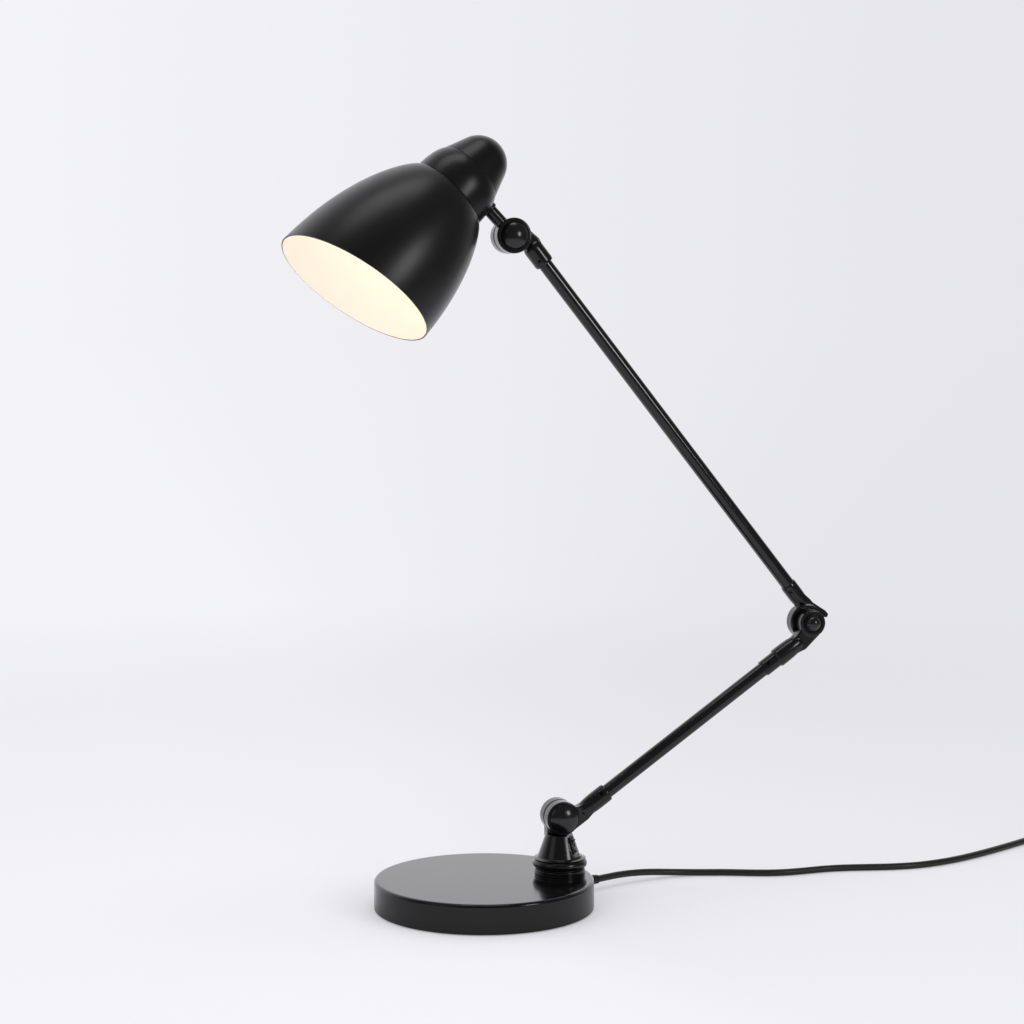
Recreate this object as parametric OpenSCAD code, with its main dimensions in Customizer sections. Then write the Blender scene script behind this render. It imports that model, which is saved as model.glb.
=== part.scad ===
// Desk lamp with a round weighted base, two tubular arms and a bell-shaped shade.
// Millimetres. The origin is the middle of the base's underside, +Z is up.
// The arms move in the XZ plane, and -Y is the side that faces the viewer.

/* [Base] */
// Diameter of the base
base_d = 200; // [190:1:215]
// Height of the base with its felt
base_h = 27.5; // [26:0.5:32]
// Thickness of the felt under the base
pad_t = 2; // [1.5:0.5:3]
// Thickness of the cast ballast disc
weight_t = 14; // [13:0.5:16]
// Wall of the pressed cover
cover_wall = 1.5; // [1:0.1:2]
// Radius of the cover's top edge
cover_edge = 3; // [2.5:0.5:5]
// Gap between the cover's lower edge and the table
skirt_lift = 0.8; // [0.5:0.1:1.2]

/* [Post] */
// Distance of the post from the middle of the base
post_x = 72; // [68:1:72]
// Height of the lowest pivot above the table
pivot_h = 80; // [79:1:86]
// Radius of the fixed foot ring
foot_r = 23.2; // [22:0.2:25]
// Thickness of the fixed foot ring
foot_t = 4.7; // [4:0.1:6]
// Radius of the post's rolled collar
collar_r = 25; // [24:0.5:27]
// Height of the rolled collar
collar_t = 8.5; // [8:0.5:9]
// Radius of the cone at its foot
cone_foot_r = 20.3; // [19.5:0.1:21]
// Radius of the cone at its top
cone_top_r = 13.2; // [12.5:0.1:14]
// Radius of the hollow stud
stud_r = 5; // [4.5:0.1:5]
// Radius of the wire bore in the stud
stud_bore_r = 3.5; // [2.8:0.1:3.5]

/* [Switch] */
// Direction that the switch faces, seen from above
switch_turn = -32; // [-40:1:-25]
// Tilt of the flat that carries the switch
switch_tilt = 16.2; // [14:0.2:18]
// Distance of the flat from the post's axis at mid height
switch_out = 11.9; // [11.5:0.1:12.5]
// Swing of the rocker between its two ends
rocker_swing = 16; // [12:1:18]

/* [Joints] */
// Thickness of every eye
eye_t = 12; // [11.5:0.5:12.5]
// Thickness of the friction washers
washer_t = 0.9; // [0.6:0.1:1.5]
// Radius of the pivot bolts
bolt_r = 3; // [2.5:0.1:3.2]
// Radius of the tension knobs
knob_r = 11; // [10:0.5:12]
// Thickness of a knob's grip
knob_t = 7; // [6:0.5:9]
// Thickness of the ring under a cap
ring_t = 1.2; // [1:0.1:1.6]

/* [Arms] */
// Lower arm from pivot to pivot, along its tube
lower_len = 297; // [280:1:310]
// Slope of the lower arm
lower_elev = 35; // [33:0.5:40]
// Upper arm from pivot to pivot, along its tube
upper_len = 460; // [440:1:480]
// Slope of the upper arm
upper_elev = 128.7; // [126:0.1:131]
// Outer radius of both tubes
tube_r = 6.5; // [6.3:0.1:6.6]
// Wall of both tubes
tube_wall = 1.2; // [1:0.1:1.5]
// Radius of the wires inside the tubes
lead_r = 2.5; // [2:0.1:2.6]
// Depth that a tube goes into its knuckle
tube_depth = 22; // [18:1:22]

/* [Head] */
// Slope of the head's axis
head_elev = 43.8; // [42:0.2:46]
// Turn of the head about its stub
head_twist = 4.6; // [0:0.2:6]
// Distance from the head pivot to the head's axis
stub_len = 66.8; // [64:0.2:68]
// Height of the stub above the shade's shoulder
stub_up = 19.5; // [19:0.5:20]
// Radius of the stub
stub_r = 6; // [5.8:0.1:6.2]
// Length of the shade from its shoulder to a square mouth
shade_len = 135; // [130:1:140]
// Radius of the shade's shoulder
shoulder_r = 37.4; // [37.2:0.1:39]
// Radius of the shade's mouth
mouth_r = 73.6; // [70:0.2:78]
// Distance from the shoulder to the middle of the slanted mouth
mouth_at = 119.4; // [116:0.2:122]
// Slant of the mouth along the arms' plane
mouth_slant = 9.4; // [5:0.2:12]
// Slant of the mouth towards the viewer
mouth_turn = 6.6; // [0:0.2:9]
// Wall of the shade
shade_wall = 1.2; // [1:0.1:1.5]
// Wall of the lamp housing
housing_wall = 1.5; // [1.2:0.1:2]
// Radius of the housing's round end
dome_r = 25.4; // [25:0.1:26]

/* [Cord] */
// Diameter of the cord
cord_d = 6.5; // [6:0.1:6.5]
// Direction in which the cord leaves the base
cord_turn = 17; // [15:1:19]
// Height of the cord where it leaves the base
cord_z = 9.5; // [9.5:0.5:11]
// Length of the strain relief outside the base
relief_len = 26; // [22:1:30]
// Turns of the coil in each of its two layers
coil_turns = 2.5; // [1.5:1:2.5]
// Radius of the coil's outer turn
coil_r = 46; // [44:1:50]

/* [Hidden] */
$fn = 96;

// Clearances
running = 0.06;
play = 0.05;
snug = 0.02;
loose = 0.3;

black = [0.05, 0.05, 0.05];
satin = [0.09, 0.09, 0.095];
steel = [0.62, 0.62, 0.64];
brass = [0.75, 0.6, 0.3];
cream = [0.95, 0.92, 0.84];

// Base heights
base_r = base_d / 2;
weight_r = base_r - cover_wall - 0.5;
pad_inset = 5;
cover_under = base_h - cover_wall;
weight_top = pad_t + weight_t;
boss_r = 21;
pocket_r = 13;
web_under = cover_under - 5;
stud_low = web_under - 6.5;
foot_top = base_h + foot_t;
slip_t = 0.8;
post_low = foot_top + slip_t;
collar_top = post_low + collar_t;
cone_low = collar_top + 2;
cone_top = pivot_h - 16;
stud_high = collar_top + 3;
cover_stud_r = 2;
cover_stud_at = [[-60, 50], [-60, -50]];
cover_boss_r = 9;
nut_pocket = 4.5;
nut_pocket_r = 5.5;
cover_nut_r = 4.04;
stud_washer_r = stud_r + 5;
stud_washer_t = 1.5;
stud_nut_r = 8.66;

// Cord exit and its path inside the base
exit_r = base_r;
relief_in = 8;
relief_flange_r = 6.5;
relief_neck_r = 4.7;
lead_turn_r = 76;
lead_channel_w = 7;
inner_lead_r = 2;
lead_turn_at = [lead_turn_r * cos(cord_turn), lead_turn_r * sin(cord_turn)];
to_post = [post_x, 0] - lead_turn_at;
to_post_a = atan2(to_post[1], to_post[0]);
to_post_len = norm(to_post);

// Switch, set into the post's flat
flat_low = (cone_top - cone_low) / 2 / cos(switch_tilt);
switch_w = 8.6;
switch_h = 14.8;
switch_deep = 8;
bezel_t = 1.2;
rocker_back = 1.5;
rocker_r = 6.7;
rocker_w = 6.4;
rocker_pin_r = 1;

// Joint stack along Y: the two eyes lie on each side of the washer
eye_y = washer_t / 2 + play + eye_t / 2;
ring_y = eye_y + eye_t / 2 + play;
bolt_back = ring_y + 4.6;
bolt_front = ring_y + ring_t;
bolt_in_cap = 1.5;
knob_hub_r = 7;
knob_hub_t = 3;
knob_grips = 8;
flute_r = 2.6;
flute_at = knob_r + 1.6;

// Sizes of each joint
base_eye_r = 15.5;
base_cap_r = 13.2;
elbow_eye_r = 12.6;
elbow_back_r = 16.8;
elbow_cap_r = 6.7;
elbow_ring_r = 9.4;
head_eye_r = 15.9;
head_cap_r = 11.2;
head_ring_r = 12.5;

// Offsets of the pivots from the tube axes, and the knuckles' barrels
lower_off = 7;
upper_elbow_off = 8;
upper_head_off = 11;
base_barrel_r = 8.5;
base_mouth = 47.5;
lower_elbow_barrel_r = 9;
lower_elbow_step = 47;
lower_sleeve_r = 7.65;
lower_elbow_mouth = 63;
upper_elbow_barrel_r = 7.6;
upper_elbow_mouth = 39.5;
head_barrel_r = 9.1;
head_mouth = 40;
barrel_gap = 1.4;
// Grub screws sit on the viewer's upper side, a little in from the mouth
screw_in = 6;
screw_r = 1.5;
screw_turn = 30;

// Pivot places in the arms' plane
dir_lower = [cos(lower_elev), sin(lower_elev)];
dir_upper = [cos(upper_elev), sin(upper_elev)];
up_upper = [-sin(upper_elev), cos(upper_elev)];
base_pivot = [post_x, pivot_h];
elbow_pivot = base_pivot + lower_len * dir_lower;
head_pivot = elbow_pivot + upper_len * dir_upper + (upper_head_off - upper_elbow_off) * up_upper;

// Head sizes, measured along the head's axis from the shade's shoulder
skirt_r = shoulder_r - 0.4;
skirt_top = 29.7;
skirt_top_r = 30.7;
skirt_outer = [[skirt_r, 0], [skirt_r - 0.1, 5], [skirt_r - 0.6, 12], [skirt_r - 1.4, 17], [skirt_r - 2.4, 21],
    [skirt_r - 4.2, 25.5], [skirt_top_r, skirt_top]];
bridge_at = 27;
bridge_t = 1.6;
dome_at = 40.4;
// The cap's cone runs on into its round end where it is tangent to it
dome_from = atan2(skirt_top - dome_at, skirt_top_r) + acos(dome_r / norm([skirt_top_r, skirt_top - dome_at]));
journal_r = 5;
seat_x = skirt_r - 0.6;
boss_in = 27;
stub_boss_r = 7.4;
vent_r = 4;
vent_at = 16;
clip_t = 1;
clip_rim = 2.2;
holder_r = 22.5;
holder_skirt_r = 19.9;
holder_low = -18;
holder_bore_r = 14;
socket_top = 10;
nipple_r = 5;
nipple_bore_r = 3.2;
nipple_nut_r = 8.1;
shade_ring_t = 7;
bulb_cap_r = 13.3;
bulb_r = 27.5;
bulb_at = -47.5;
neck_at = -19;
neck_r = 12.9;
glass_wall = 1;

// Cord
cord_r = cord_d / 2;
coil_pitch = cord_d + 0.7;
layer_step = cord_d + 0.6;
exit_at = [(exit_r + relief_len) * cos(cord_turn), (exit_r + relief_len) * sin(cord_turn), cord_z];
coil_heading = 32;
coil_from = [660, 133];
// The free stretch on the table, point by point
route = [
    exit_at,
    [133, 42.6, 9.5], [147, 48.6, 9.3], [160, 53, 8.8], [179, 58, 7.4], [199, 61.5, 5.2], [217, 61.6, 3.8],
    [235, 58.2, cord_r], [252, 53.6, cord_r], [268, 48, cord_r], [285, 41.8, cord_r], [301, 37.8, cord_r],
    [319, 36.8, cord_r], [339, 38.4, cord_r], [358, 39.4, cord_r], [376, 37.6, cord_r], [394, 34.3, cord_r],
    [411, 31, cord_r], [429, 28.9, cord_r], [449, 29.3, cord_r], [470, 33.4, cord_r], [493, 40.8, cord_r],
    [518, 51.8, cord_r], [545, 65.5, cord_r], [571, 80, cord_r], [597, 95, cord_r], [620, 108.5, cord_r],
    [641, 121.3, cord_r], [coil_from[0], coil_from[1], cord_r]
];
plug_t = 14;
plug_w = 35;
plug_len = 35;
plug_relief_len = 22;
pin_r = 2;
pin_len = 19;
pin_gap = 18.6;
tail_len = 72;
tail_hold = 24;

// Small helpers
function arc_points(c, r, a0, a1, n = 12) =
    [for (i = [0:n]) let (a = a0 + (a1 - a0) * i / n) c + r * [cos(a), sin(a)]];
function unit(v) = v / norm(v);
function total(v, i = 0) = i < len(v) ? v[i] + total(v, i + 1) : 0;

// Places a child in an arm's frame: X along the tube, pivot of the near end at z = off
module in_arm(pivot, elev, off, y) {
    translate([pivot[0], y, pivot[1]])
        rotate([0, -elev, 0])
            translate([0, 0, -off])
                children();
}

module in_lower() {
    in_arm(base_pivot, lower_elev, lower_off, -eye_y) children();
}

module in_upper() {
    in_arm(elbow_pivot, upper_elev, upper_elbow_off, eye_y) children();
}

// Places a child in the head's frame: +Z from mouth to housing, +X towards the head pivot
module in_head() {
    translate([head_pivot[0], -eye_y, head_pivot[1]])
        rotate([0, 90 - head_elev, 0])
            rotate([-head_twist, 0, 0])
                translate([-stub_len, 0, -stub_up])
                    children();
}

// Places a child in the stub's frame: the same as the head's, without the turn about the stub
module in_stub() {
    translate([head_pivot[0], -eye_y, head_pivot[1]])
        rotate([0, 90 - head_elev, 0])
            children();
}

// Places a child on the switch flat: +X out of the flat, +Z up along it
module on_flat() {
    translate([post_x, 0, (cone_low + cone_top) / 2])
        rotate([0, 0, switch_turn])
            translate([switch_out, 0, 0])
                rotate([0, -switch_tilt, 0])
                    children();
}

module at_pivot(pivot) {
    translate([pivot[0], 0, pivot[1]]) children();
}

// A shape turned about Y, with its profile given as [radius, y]
module turned_y(profile) {
    rotate([-90, 0, 0]) rotate_extrude() polygon(profile);
}

// A shape turned about X, with its profile given as [radius, x]
module turned_x(profile) {
    rotate([0, 90, 0]) rotate_extrude() polygon(profile);
}

module rod_y(r, y0, y1) {
    translate([0, y0, 0]) rotate([-90, 0, 0]) cylinder(r = r, h = y1 - y0);
}

module rod_x(r, x0, x1) {
    translate([x0, 0, 0]) rotate([0, 90, 0]) cylinder(r = r, h = x1 - x0);
}

module tube_z(r_out, r_in, z0, z1) {
    translate([0, 0, z0]) difference() {
        cylinder(r = r_out, h = z1 - z0);
        translate([0, 0, -1]) cylinder(r = r_in, h = z1 - z0 + 2);
    }
}

// An eye with chamfered edges, centred on its own middle plane
module eye(r) {
    c = 0.9;
    h = eye_t / 2;
    turned_y([[0, -h], [r - c, -h], [r, c - h], [r, h - c], [r - c, h], [0, h]]);
}

// Base

module base_pad() {
    color(satin) cylinder(r = base_r - pad_inset, h = pad_t);
}

module lead_channel() {
    w = lead_channel_w / 2;
    relief_w = 2 * relief_flange_r + 3;
    rotate([0, 0, cord_turn]) {
        translate([lead_turn_r - w, -w, cord_z - w]) cube([base_r, 2 * w, base_h]);
        translate([base_r - relief_in - 4, -relief_w / 2, 0]) cube([base_r, relief_w, base_h]);
    }
    translate([lead_turn_at[0], lead_turn_at[1], 0]) rotate([0, 0, to_post_a])
        translate([-w, -w, cord_z - w]) cube([to_post_len - pocket_r + 5 + w, 2 * w, base_h]);
}

module base_weight() {
    color(black) difference() {
        union() {
            translate([0, 0, pad_t]) cylinder(r = weight_r, h = weight_t);
            translate([post_x, 0, pad_t]) cylinder(r = boss_r, h = cover_under - pad_t);
            for (p = cover_stud_at) translate([p[0], p[1], pad_t])
                cylinder(r = cover_boss_r, h = cover_under - pad_t);
        }
        translate([post_x, 0, 0]) cylinder(r = pocket_r, h = web_under);
        translate([post_x, 0, 0]) cylinder(r = stud_r + running, h = base_h);
        for (p = cover_stud_at) translate([p[0], p[1], 0]) {
            cylinder(r = cover_stud_r + 0.2, h = base_h);
            cylinder(r = nut_pocket_r, h = pad_t + nut_pocket);
        }
        lead_channel();
    }
}

module base_cover() {
    e = cover_edge;
    i = cover_edge - cover_wall;
    outer = concat([[0, base_h]],
        arc_points([base_r - e, base_h - e], e, 90, 0, 10), [[base_r, skirt_lift]]);
    inner = concat([[base_r - cover_wall, skirt_lift]],
        arc_points([base_r - e, base_h - e], i, 0, 90, 10), [[0, cover_under]]);
    color(black) difference() {
        union() {
            rotate_extrude($fn = 180) polygon(concat(outer, inner));
            for (p = cover_stud_at) translate([p[0], p[1], pad_t + 0.6])
                cylinder(r = cover_stud_r, h = cover_under - pad_t);
        }
        translate([post_x, 0, cover_under - 1]) cylinder(r = stud_r + 1, h = 5);
        rotate([0, 0, cord_turn]) translate([0, 0, cord_z])
            rod_x(relief_neck_r + loose, base_r - 8, base_r + 5);
    }
}

module cover_nuts() {
    color(steel) for (p = cover_stud_at) translate([p[0], p[1], pad_t + 1]) difference() {
        cylinder(r = cover_nut_r, h = nut_pocket - 1, $fn = 6);
        translate([0, 0, -1]) cylinder(r = cover_stud_r + snug, h = 6, $fn = 48);
    }
}

module cord_relief() {
    t0 = exit_r;
    t1 = t0 - cover_wall - loose;
    profile = [
        [0, t0 - relief_in], [relief_flange_r, t0 - relief_in], [relief_flange_r, t1], [relief_neck_r, t1],
        [relief_neck_r, t0 + loose], [relief_flange_r, t0 + loose], [relief_flange_r, t0 + 2],
        [relief_flange_r - 0.7, t0 + 3], [cord_r + 0.8, t0 + relief_len], [0, t0 + relief_len]
    ];
    color(black) rotate([0, 0, cord_turn]) translate([0, 0, cord_z]) turned_x(profile);
}

// The wires from the strain relief to the stud, and up through it
module base_lead() {
    r = inner_lead_r;
    color(steel) {
        rotate([0, 0, cord_turn]) translate([0, 0, cord_z]) rod_x(r + 0.2, lead_turn_r - r, exit_r - relief_in);
        translate([lead_turn_at[0], lead_turn_at[1], cord_z]) rotate([0, 0, to_post_a])
            rod_x(r, 0, to_post_len);
        translate([post_x, 0, cord_z - r - 1]) cylinder(r = r + 0.4, h = stud_high + r + 1 - cord_z);
    }
}

module foot_ring() {
    profile = [
        [stud_r + running, base_h], [foot_r, base_h], [foot_r, foot_top - 1], [foot_r - 1, foot_top],
        [stud_r + running, foot_top]
    ];
    color(black) translate([post_x, 0, 0]) rotate_extrude() polygon(profile);
}

module swivel_washer() {
    color(satin) translate([post_x, 0, 0]) tube_z(foot_r - 2.2, stud_r + 0.3, foot_top, post_low - play);
}

// Post

module post() {
    bulge = collar_t / 2;
    body = concat(
        [[0, post_low], [collar_r - bulge, post_low]],
        arc_points([collar_r - bulge, post_low + bulge], bulge, -75, 75, 12),
        [[collar_r - 1.2, collar_top], [collar_r - 1.2, collar_top + 0.8], [cone_foot_r + 1, collar_top + 1.1],
        [cone_foot_r, cone_low], [cone_top_r, cone_top], [0, cone_top]]
    );
    color(black) difference() {
        union() {
            translate([post_x, 0, 0]) rotate_extrude() polygon(body);
            at_pivot(base_pivot) translate([0, eye_y, 0]) {
                eye(base_eye_r);
                rotate([90, 0, 0]) linear_extrude(height = eye_t, center = true)
                    polygon([[-11, -20], [11, -20], [11.6, -9.5], [-11.6, -9.5]]);
            }
        }
        at_pivot(base_pivot) translate([0, eye_y, 0]) rod_y(bolt_r + snug, -eye_t, eye_t);
        translate([post_x, 0, 0]) cylinder(r = stud_r + snug, h = stud_high);
        translate([post_x, 0, 0]) cylinder(r = stud_bore_r, h = stud_high + 5);
        on_flat() {
            translate([0, -collar_r, -flat_low]) cube([collar_r, 2 * collar_r, pivot_h]);
            translate([-switch_deep - 0.2, -switch_w / 2 - 0.2, -switch_h / 2 - 0.2])
                cube([collar_r, switch_w + 0.4, switch_h + 0.4]);
        }
    }
}

module post_stud() {
    color(steel) translate([post_x, 0, 0]) tube_z(stud_r, stud_bore_r, stud_low, stud_high);
}

module stud_washer() {
    z1 = web_under - play;
    color(steel) translate([post_x, 0, 0]) tube_z(stud_washer_r, stud_r + snug, web_under - stud_washer_t, z1);
}

module stud_nut() {
    z0 = stud_low + 0.5;
    color(steel) translate([post_x, 0, z0]) difference() {
        cylinder(r = stud_nut_r, h = web_under - stud_washer_t - z0, $fn = 6);
        translate([0, 0, -1]) cylinder(r = stud_r + snug, h = 10);
    }
}

// Switch on the post's flat

module switch_bezel() {
    color(satin) on_flat() difference() {
        union() {
            translate([0, -switch_w / 2 - 1, -switch_h / 2 - 0.6])
                cube([bezel_t, switch_w + 2, switch_h + 1.2]);
            translate([-switch_deep, -switch_w / 2, -switch_h / 2])
                cube([switch_deep + 0.5, switch_w, switch_h]);
        }
        translate([1 - switch_deep, -rocker_w / 2 - loose, 0.4 - switch_h / 2])
            cube([switch_deep + 5, rocker_w + 2 * loose, switch_h - 0.8]);
        translate([-rocker_back, 0, 0]) rod_y(rocker_pin_r + running, -5, 5);
    }
}

module switch_rocker() {
    face = [[-3.2, -2.5], [-1, -6.6], [6, -6.6], [1.9, 0], [6, 6.6], [-1, 6.6], [-3.2, 2.5]];
    color(black) on_flat() translate([-rocker_back, 0, 0]) rotate([0, rocker_swing / 2, 0]) {
        intersection() {
            rod_y(rocker_r, -rocker_w / 2, rocker_w / 2);
            rotate([90, 0, 0]) linear_extrude(height = rocker_w, center = true) polygon(face);
        }
        rod_y(rocker_pin_r, 0.1 - switch_w / 2, switch_w / 2 - 0.1);
    }
}

// Joint hardware, the same stack at each pivot

module pivot_bolt(pivot) {
    color(steel) at_pivot(pivot) rod_y(bolt_r, -bolt_front - bolt_in_cap, bolt_back);
}

module pivot_ring(pivot, r) {
    y0 = -ring_y - ring_t;
    color(black) at_pivot(pivot)
        turned_y([[bolt_r + snug, y0], [r - 0.4, y0], [r, y0 + 0.4], [r, -ring_y], [bolt_r + snug, -ring_y]]);
}

module pivot_cap(pivot, r, h) {
    y0 = -bolt_front;
    rim = 1;
    ball = (r * r + (h - rim) * (h - rim)) / (2 * (h - rim));
    sweep = asin(r / ball);
    dome = [for (i = [14:-1:0]) let (a = sweep * i / 14) [ball * sin(a), y0 - h + ball - ball * cos(a)]];
    color(black) at_pivot(pivot) difference() {
        turned_y(concat([[0, y0], [r, y0]], dome));
        rod_y(bolt_r + snug, y0 - bolt_in_cap, y0 + 1);
    }
}

module pivot_washer(pivot, r) {
    color(steel) at_pivot(pivot) difference() {
        rod_y(r, -washer_t / 2, washer_t / 2 + play);
        rod_y(bolt_r + snug, -eye_t, eye_t);
    }
}

module pivot_knob(pivot) {
    y0 = ring_y;
    y1 = ring_y + knob_hub_t;
    y2 = y1 + knob_t;
    color(black) at_pivot(pivot) difference() {
        turned_y([[0, y0], [knob_hub_r, y0], [knob_hub_r, y1], [knob_r - 1, y1], [knob_r, y1 + 1],
            [knob_r, y2 - 1.5], [knob_r - 1.5, y2], [0, y2]]);
        rod_y(bolt_r + running, y0 - 1, bolt_back + play);
        for (i = [0:knob_grips - 1]) rotate([0, i * 360 / knob_grips, 0]) translate([flute_at, 0, 0])
            rod_y(flute_r, y1 - 1, y2 + 1, $fn = 48);
    }
}

module base_pivot_bolt() { pivot_bolt(base_pivot); }
module base_pivot_cap() { pivot_cap(base_pivot, base_cap_r, 6); }
module base_pivot_ring() { pivot_ring(base_pivot, base_cap_r + 1.2); }
module base_pivot_washer() { pivot_washer(base_pivot, base_eye_r - 1.5); }
module base_pivot_knob() { pivot_knob(base_pivot); }

module elbow_bolt() { pivot_bolt(elbow_pivot); }
module elbow_cap() { pivot_cap(elbow_pivot, elbow_cap_r, 5); }
module elbow_ring() { pivot_ring(elbow_pivot, elbow_ring_r); }
module elbow_washer() { pivot_washer(elbow_pivot, elbow_eye_r - 1); }
module elbow_knob() { pivot_knob(elbow_pivot); }

module head_pivot_bolt() { pivot_bolt(head_pivot); }
module head_pivot_cap() { pivot_cap(head_pivot, head_cap_r, 5.5); }
module head_pivot_ring() { pivot_ring(head_pivot, head_ring_r); }
module head_pivot_washer() { pivot_washer(head_pivot, head_eye_r - 1.5); }
module head_pivot_knob() { pivot_knob(head_pivot); }

// Knuckles: an eye, a barrel beside it that holds the tube, and a web between them.
// The tube's axis is X, and the eye stands at z = off. The barrel starts at x0.
module knuckle(eye_r, off, barrel_r, x0, step, sleeve_r, mouth, hole) {
    w = eye_t / 2 - 0.4;
    barrel = [
        [0, x0], [barrel_r - 2.2, x0], [barrel_r - 0.6, x0 + 0.7], [barrel_r, x0 + 2.2],
        [barrel_r, step - 1], [sleeve_r, step], [sleeve_r, mouth - 0.5], [sleeve_r - 0.5, mouth], [0, mouth]
    ];
    web = [
        [-eye_r * 0.2, off - eye_r * 0.95], [x0 + 3, 0.6 - barrel_r], [x0 + 3, barrel_r - 0.6],
        [eye_r * 0.72, off + eye_r * 0.66], [0, off]
    ];
    difference() {
        union() {
            translate([0, 0, off]) eye(eye_r);
            rotate([90, 0, 0]) linear_extrude(height = 2 * w, center = true) polygon(web);
            turned_x(barrel);
            children();
        }
        translate([0, 0, off]) rod_y(hole, -eye_t, eye_t);
        rod_x(tube_r + snug, mouth - tube_depth, mouth + 1);
        screw_hole(mouth);
    }
}

module screw_hole(mouth) {
    translate([mouth - screw_in, 0, 0]) rotate([-screw_turn, 0, 0]) rod_y(screw_r + snug, -20, 0, $fn = 48);
}

module grub_screw(mouth, r) {
    translate([mouth - screw_in, 0, 0]) rotate([-screw_turn, 0, 0])
        rod_y(screw_r, -r - 0.2, -tube_r - snug, $fn = 48);
}

// The far end of an arm is its near end mirrored
module far_end(length) {
    translate([length, 0, 0]) mirror([1, 0, 0]) children();
}

module lower_base_knuckle() {
    color(black) in_lower()
        knuckle(base_eye_r, lower_off, base_barrel_r, base_eye_r + barrel_gap, base_mouth - 1,
            base_barrel_r - 0.3, base_mouth, bolt_r + running);
}

module lower_elbow_knuckle() {
    color(black) in_lower() far_end(lower_len)
        knuckle(elbow_eye_r, lower_off, lower_elbow_barrel_r, elbow_back_r + barrel_gap, lower_elbow_step,
            lower_sleeve_r, lower_elbow_mouth, bolt_r + running);
}

module lower_tube() {
    x0 = base_mouth - tube_depth;
    x1 = lower_len - lower_elbow_mouth + tube_depth;
    color(black) in_lower() difference() {
        rod_x(tube_r, x0, x1);
        rod_x(tube_r - tube_wall, x0 - 1, x1 + 1);
    }
}

module lower_screws() {
    color(steel) in_lower() {
        grub_screw(base_mouth, base_barrel_r);
        far_end(lower_len) grub_screw(lower_elbow_mouth, lower_sleeve_r);
    }
}

// Wires lie on the tube's lower wall
module tube_lead(x0, x1) {
    translate([0, 0, lead_r + loose - tube_r + tube_wall]) rod_x(lead_r, x0, x1, $fn = 48);
}

module lower_lead() {
    color(cream) in_lower()
        tube_lead(base_mouth - tube_depth + 1, lower_len - lower_elbow_mouth + tube_depth - 1);
}

module upper_elbow_knuckle() {
    lug = [[-8.3, -11.6], [13, 0.6 - upper_elbow_barrel_r], [12, 2], [-9, 3]];
    color(black) in_upper()
        knuckle(elbow_back_r, upper_elbow_off, upper_elbow_barrel_r, elbow_eye_r + barrel_gap,
            upper_elbow_mouth - 1, upper_elbow_barrel_r - 0.3, upper_elbow_mouth, bolt_r + snug)
            rotate([90, 0, 0]) linear_extrude(height = eye_t - 1.4, center = true) polygon(lug);
}

module upper_head_knuckle() {
    color(black) in_upper() far_end(upper_len)
        knuckle(head_eye_r, upper_head_off, head_barrel_r, head_eye_r + barrel_gap, head_mouth - 1,
            head_barrel_r - 0.3, head_mouth, bolt_r + snug);
}

module upper_tube() {
    x0 = upper_elbow_mouth - tube_depth;
    x1 = upper_len - head_mouth + tube_depth;
    color(black) in_upper() difference() {
        rod_x(tube_r, x0, x1);
        rod_x(tube_r - tube_wall, x0 - 1, x1 + 1);
    }
}

module upper_screws() {
    color(steel) in_upper() {
        grub_screw(upper_elbow_mouth, upper_elbow_barrel_r);
        far_end(upper_len) grub_screw(head_mouth, head_barrel_r);
    }
}

module upper_lead() {
    color(cream) in_upper()
        tube_lead(upper_elbow_mouth - tube_depth + 1, upper_len - head_mouth + tube_depth - 1);
}

// Head

module head_stub() {
    tip = stub_len - boss_in + 4;
    clip_at = stub_len - boss_in + play;
    seat = stub_len - seat_x - play;
    color(black) in_stub() difference() {
        union() {
            eye(head_eye_r);
            rod_x(stub_r, -seat, 0);
            rod_x(journal_r, -tip, -seat + 1);
        }
        rod_y(bolt_r + running, -eye_t, eye_t);
        rod_x(2.6, -tip - 1, -head_eye_r + 4);
        difference() {
            rod_x(journal_r + 1, -clip_at - clip_t - play, -clip_at);
            rod_x(journal_r - 1, -clip_at - clip_t - 1, -clip_at + 1);
        }
    }
}

module stub_clip() {
    clip_at = stub_len - boss_in + play;
    color(steel) in_stub() difference() {
        rod_x(journal_r + clip_rim, -clip_at - clip_t, -clip_at);
        rod_x(journal_r - 1 + snug, -clip_at - clip_t - 1, -clip_at + 1);
    }
}

module housing_skirt() {
    inner = [for (i = [len(skirt_outer) - 1:-1:0]) skirt_outer[i] - [housing_wall, 0]];
    color(black) in_head() difference() {
        union() {
            rotate_extrude($fn = 120) polygon(concat(skirt_outer, inner));
            translate([0, 0, bridge_at]) cylinder(r = skirt_top_r, h = bridge_t);
            translate([0, 0, stub_up]) rod_x(stub_boss_r, boss_in, seat_x);
        }
        translate([0, 0, bridge_at - 1]) cylinder(r = nipple_r + snug, h = bridge_t + 2);
        translate([0, 0, stub_up]) rod_x(journal_r + running, boss_in - 1, seat_x + 1);
        for (a = [60, 180, 300]) rotate([0, 0, a]) translate([vent_at, 0, bridge_at - 1])
            cylinder(r = vent_r, h = bridge_t + 2);
    }
}

module housing_cap() {
    w = housing_wall;
    lip_r = skirt_top_r - w - running;
    lip_low = bridge_at + bridge_t + loose;
    shell = concat(
        [[lip_r - 1, lip_low], [lip_r, lip_low], [lip_r, skirt_top], [skirt_top_r, skirt_top]],
        arc_points([0, dome_at], dome_r, dome_from, 90, 16),
        arc_points([0, dome_at], dome_r - w, 90, dome_from, 16),
        [[lip_r - 1, skirt_top + 1]]
    );
    color(black) in_head() rotate_extrude($fn = 120) polygon(shell);
}

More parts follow.
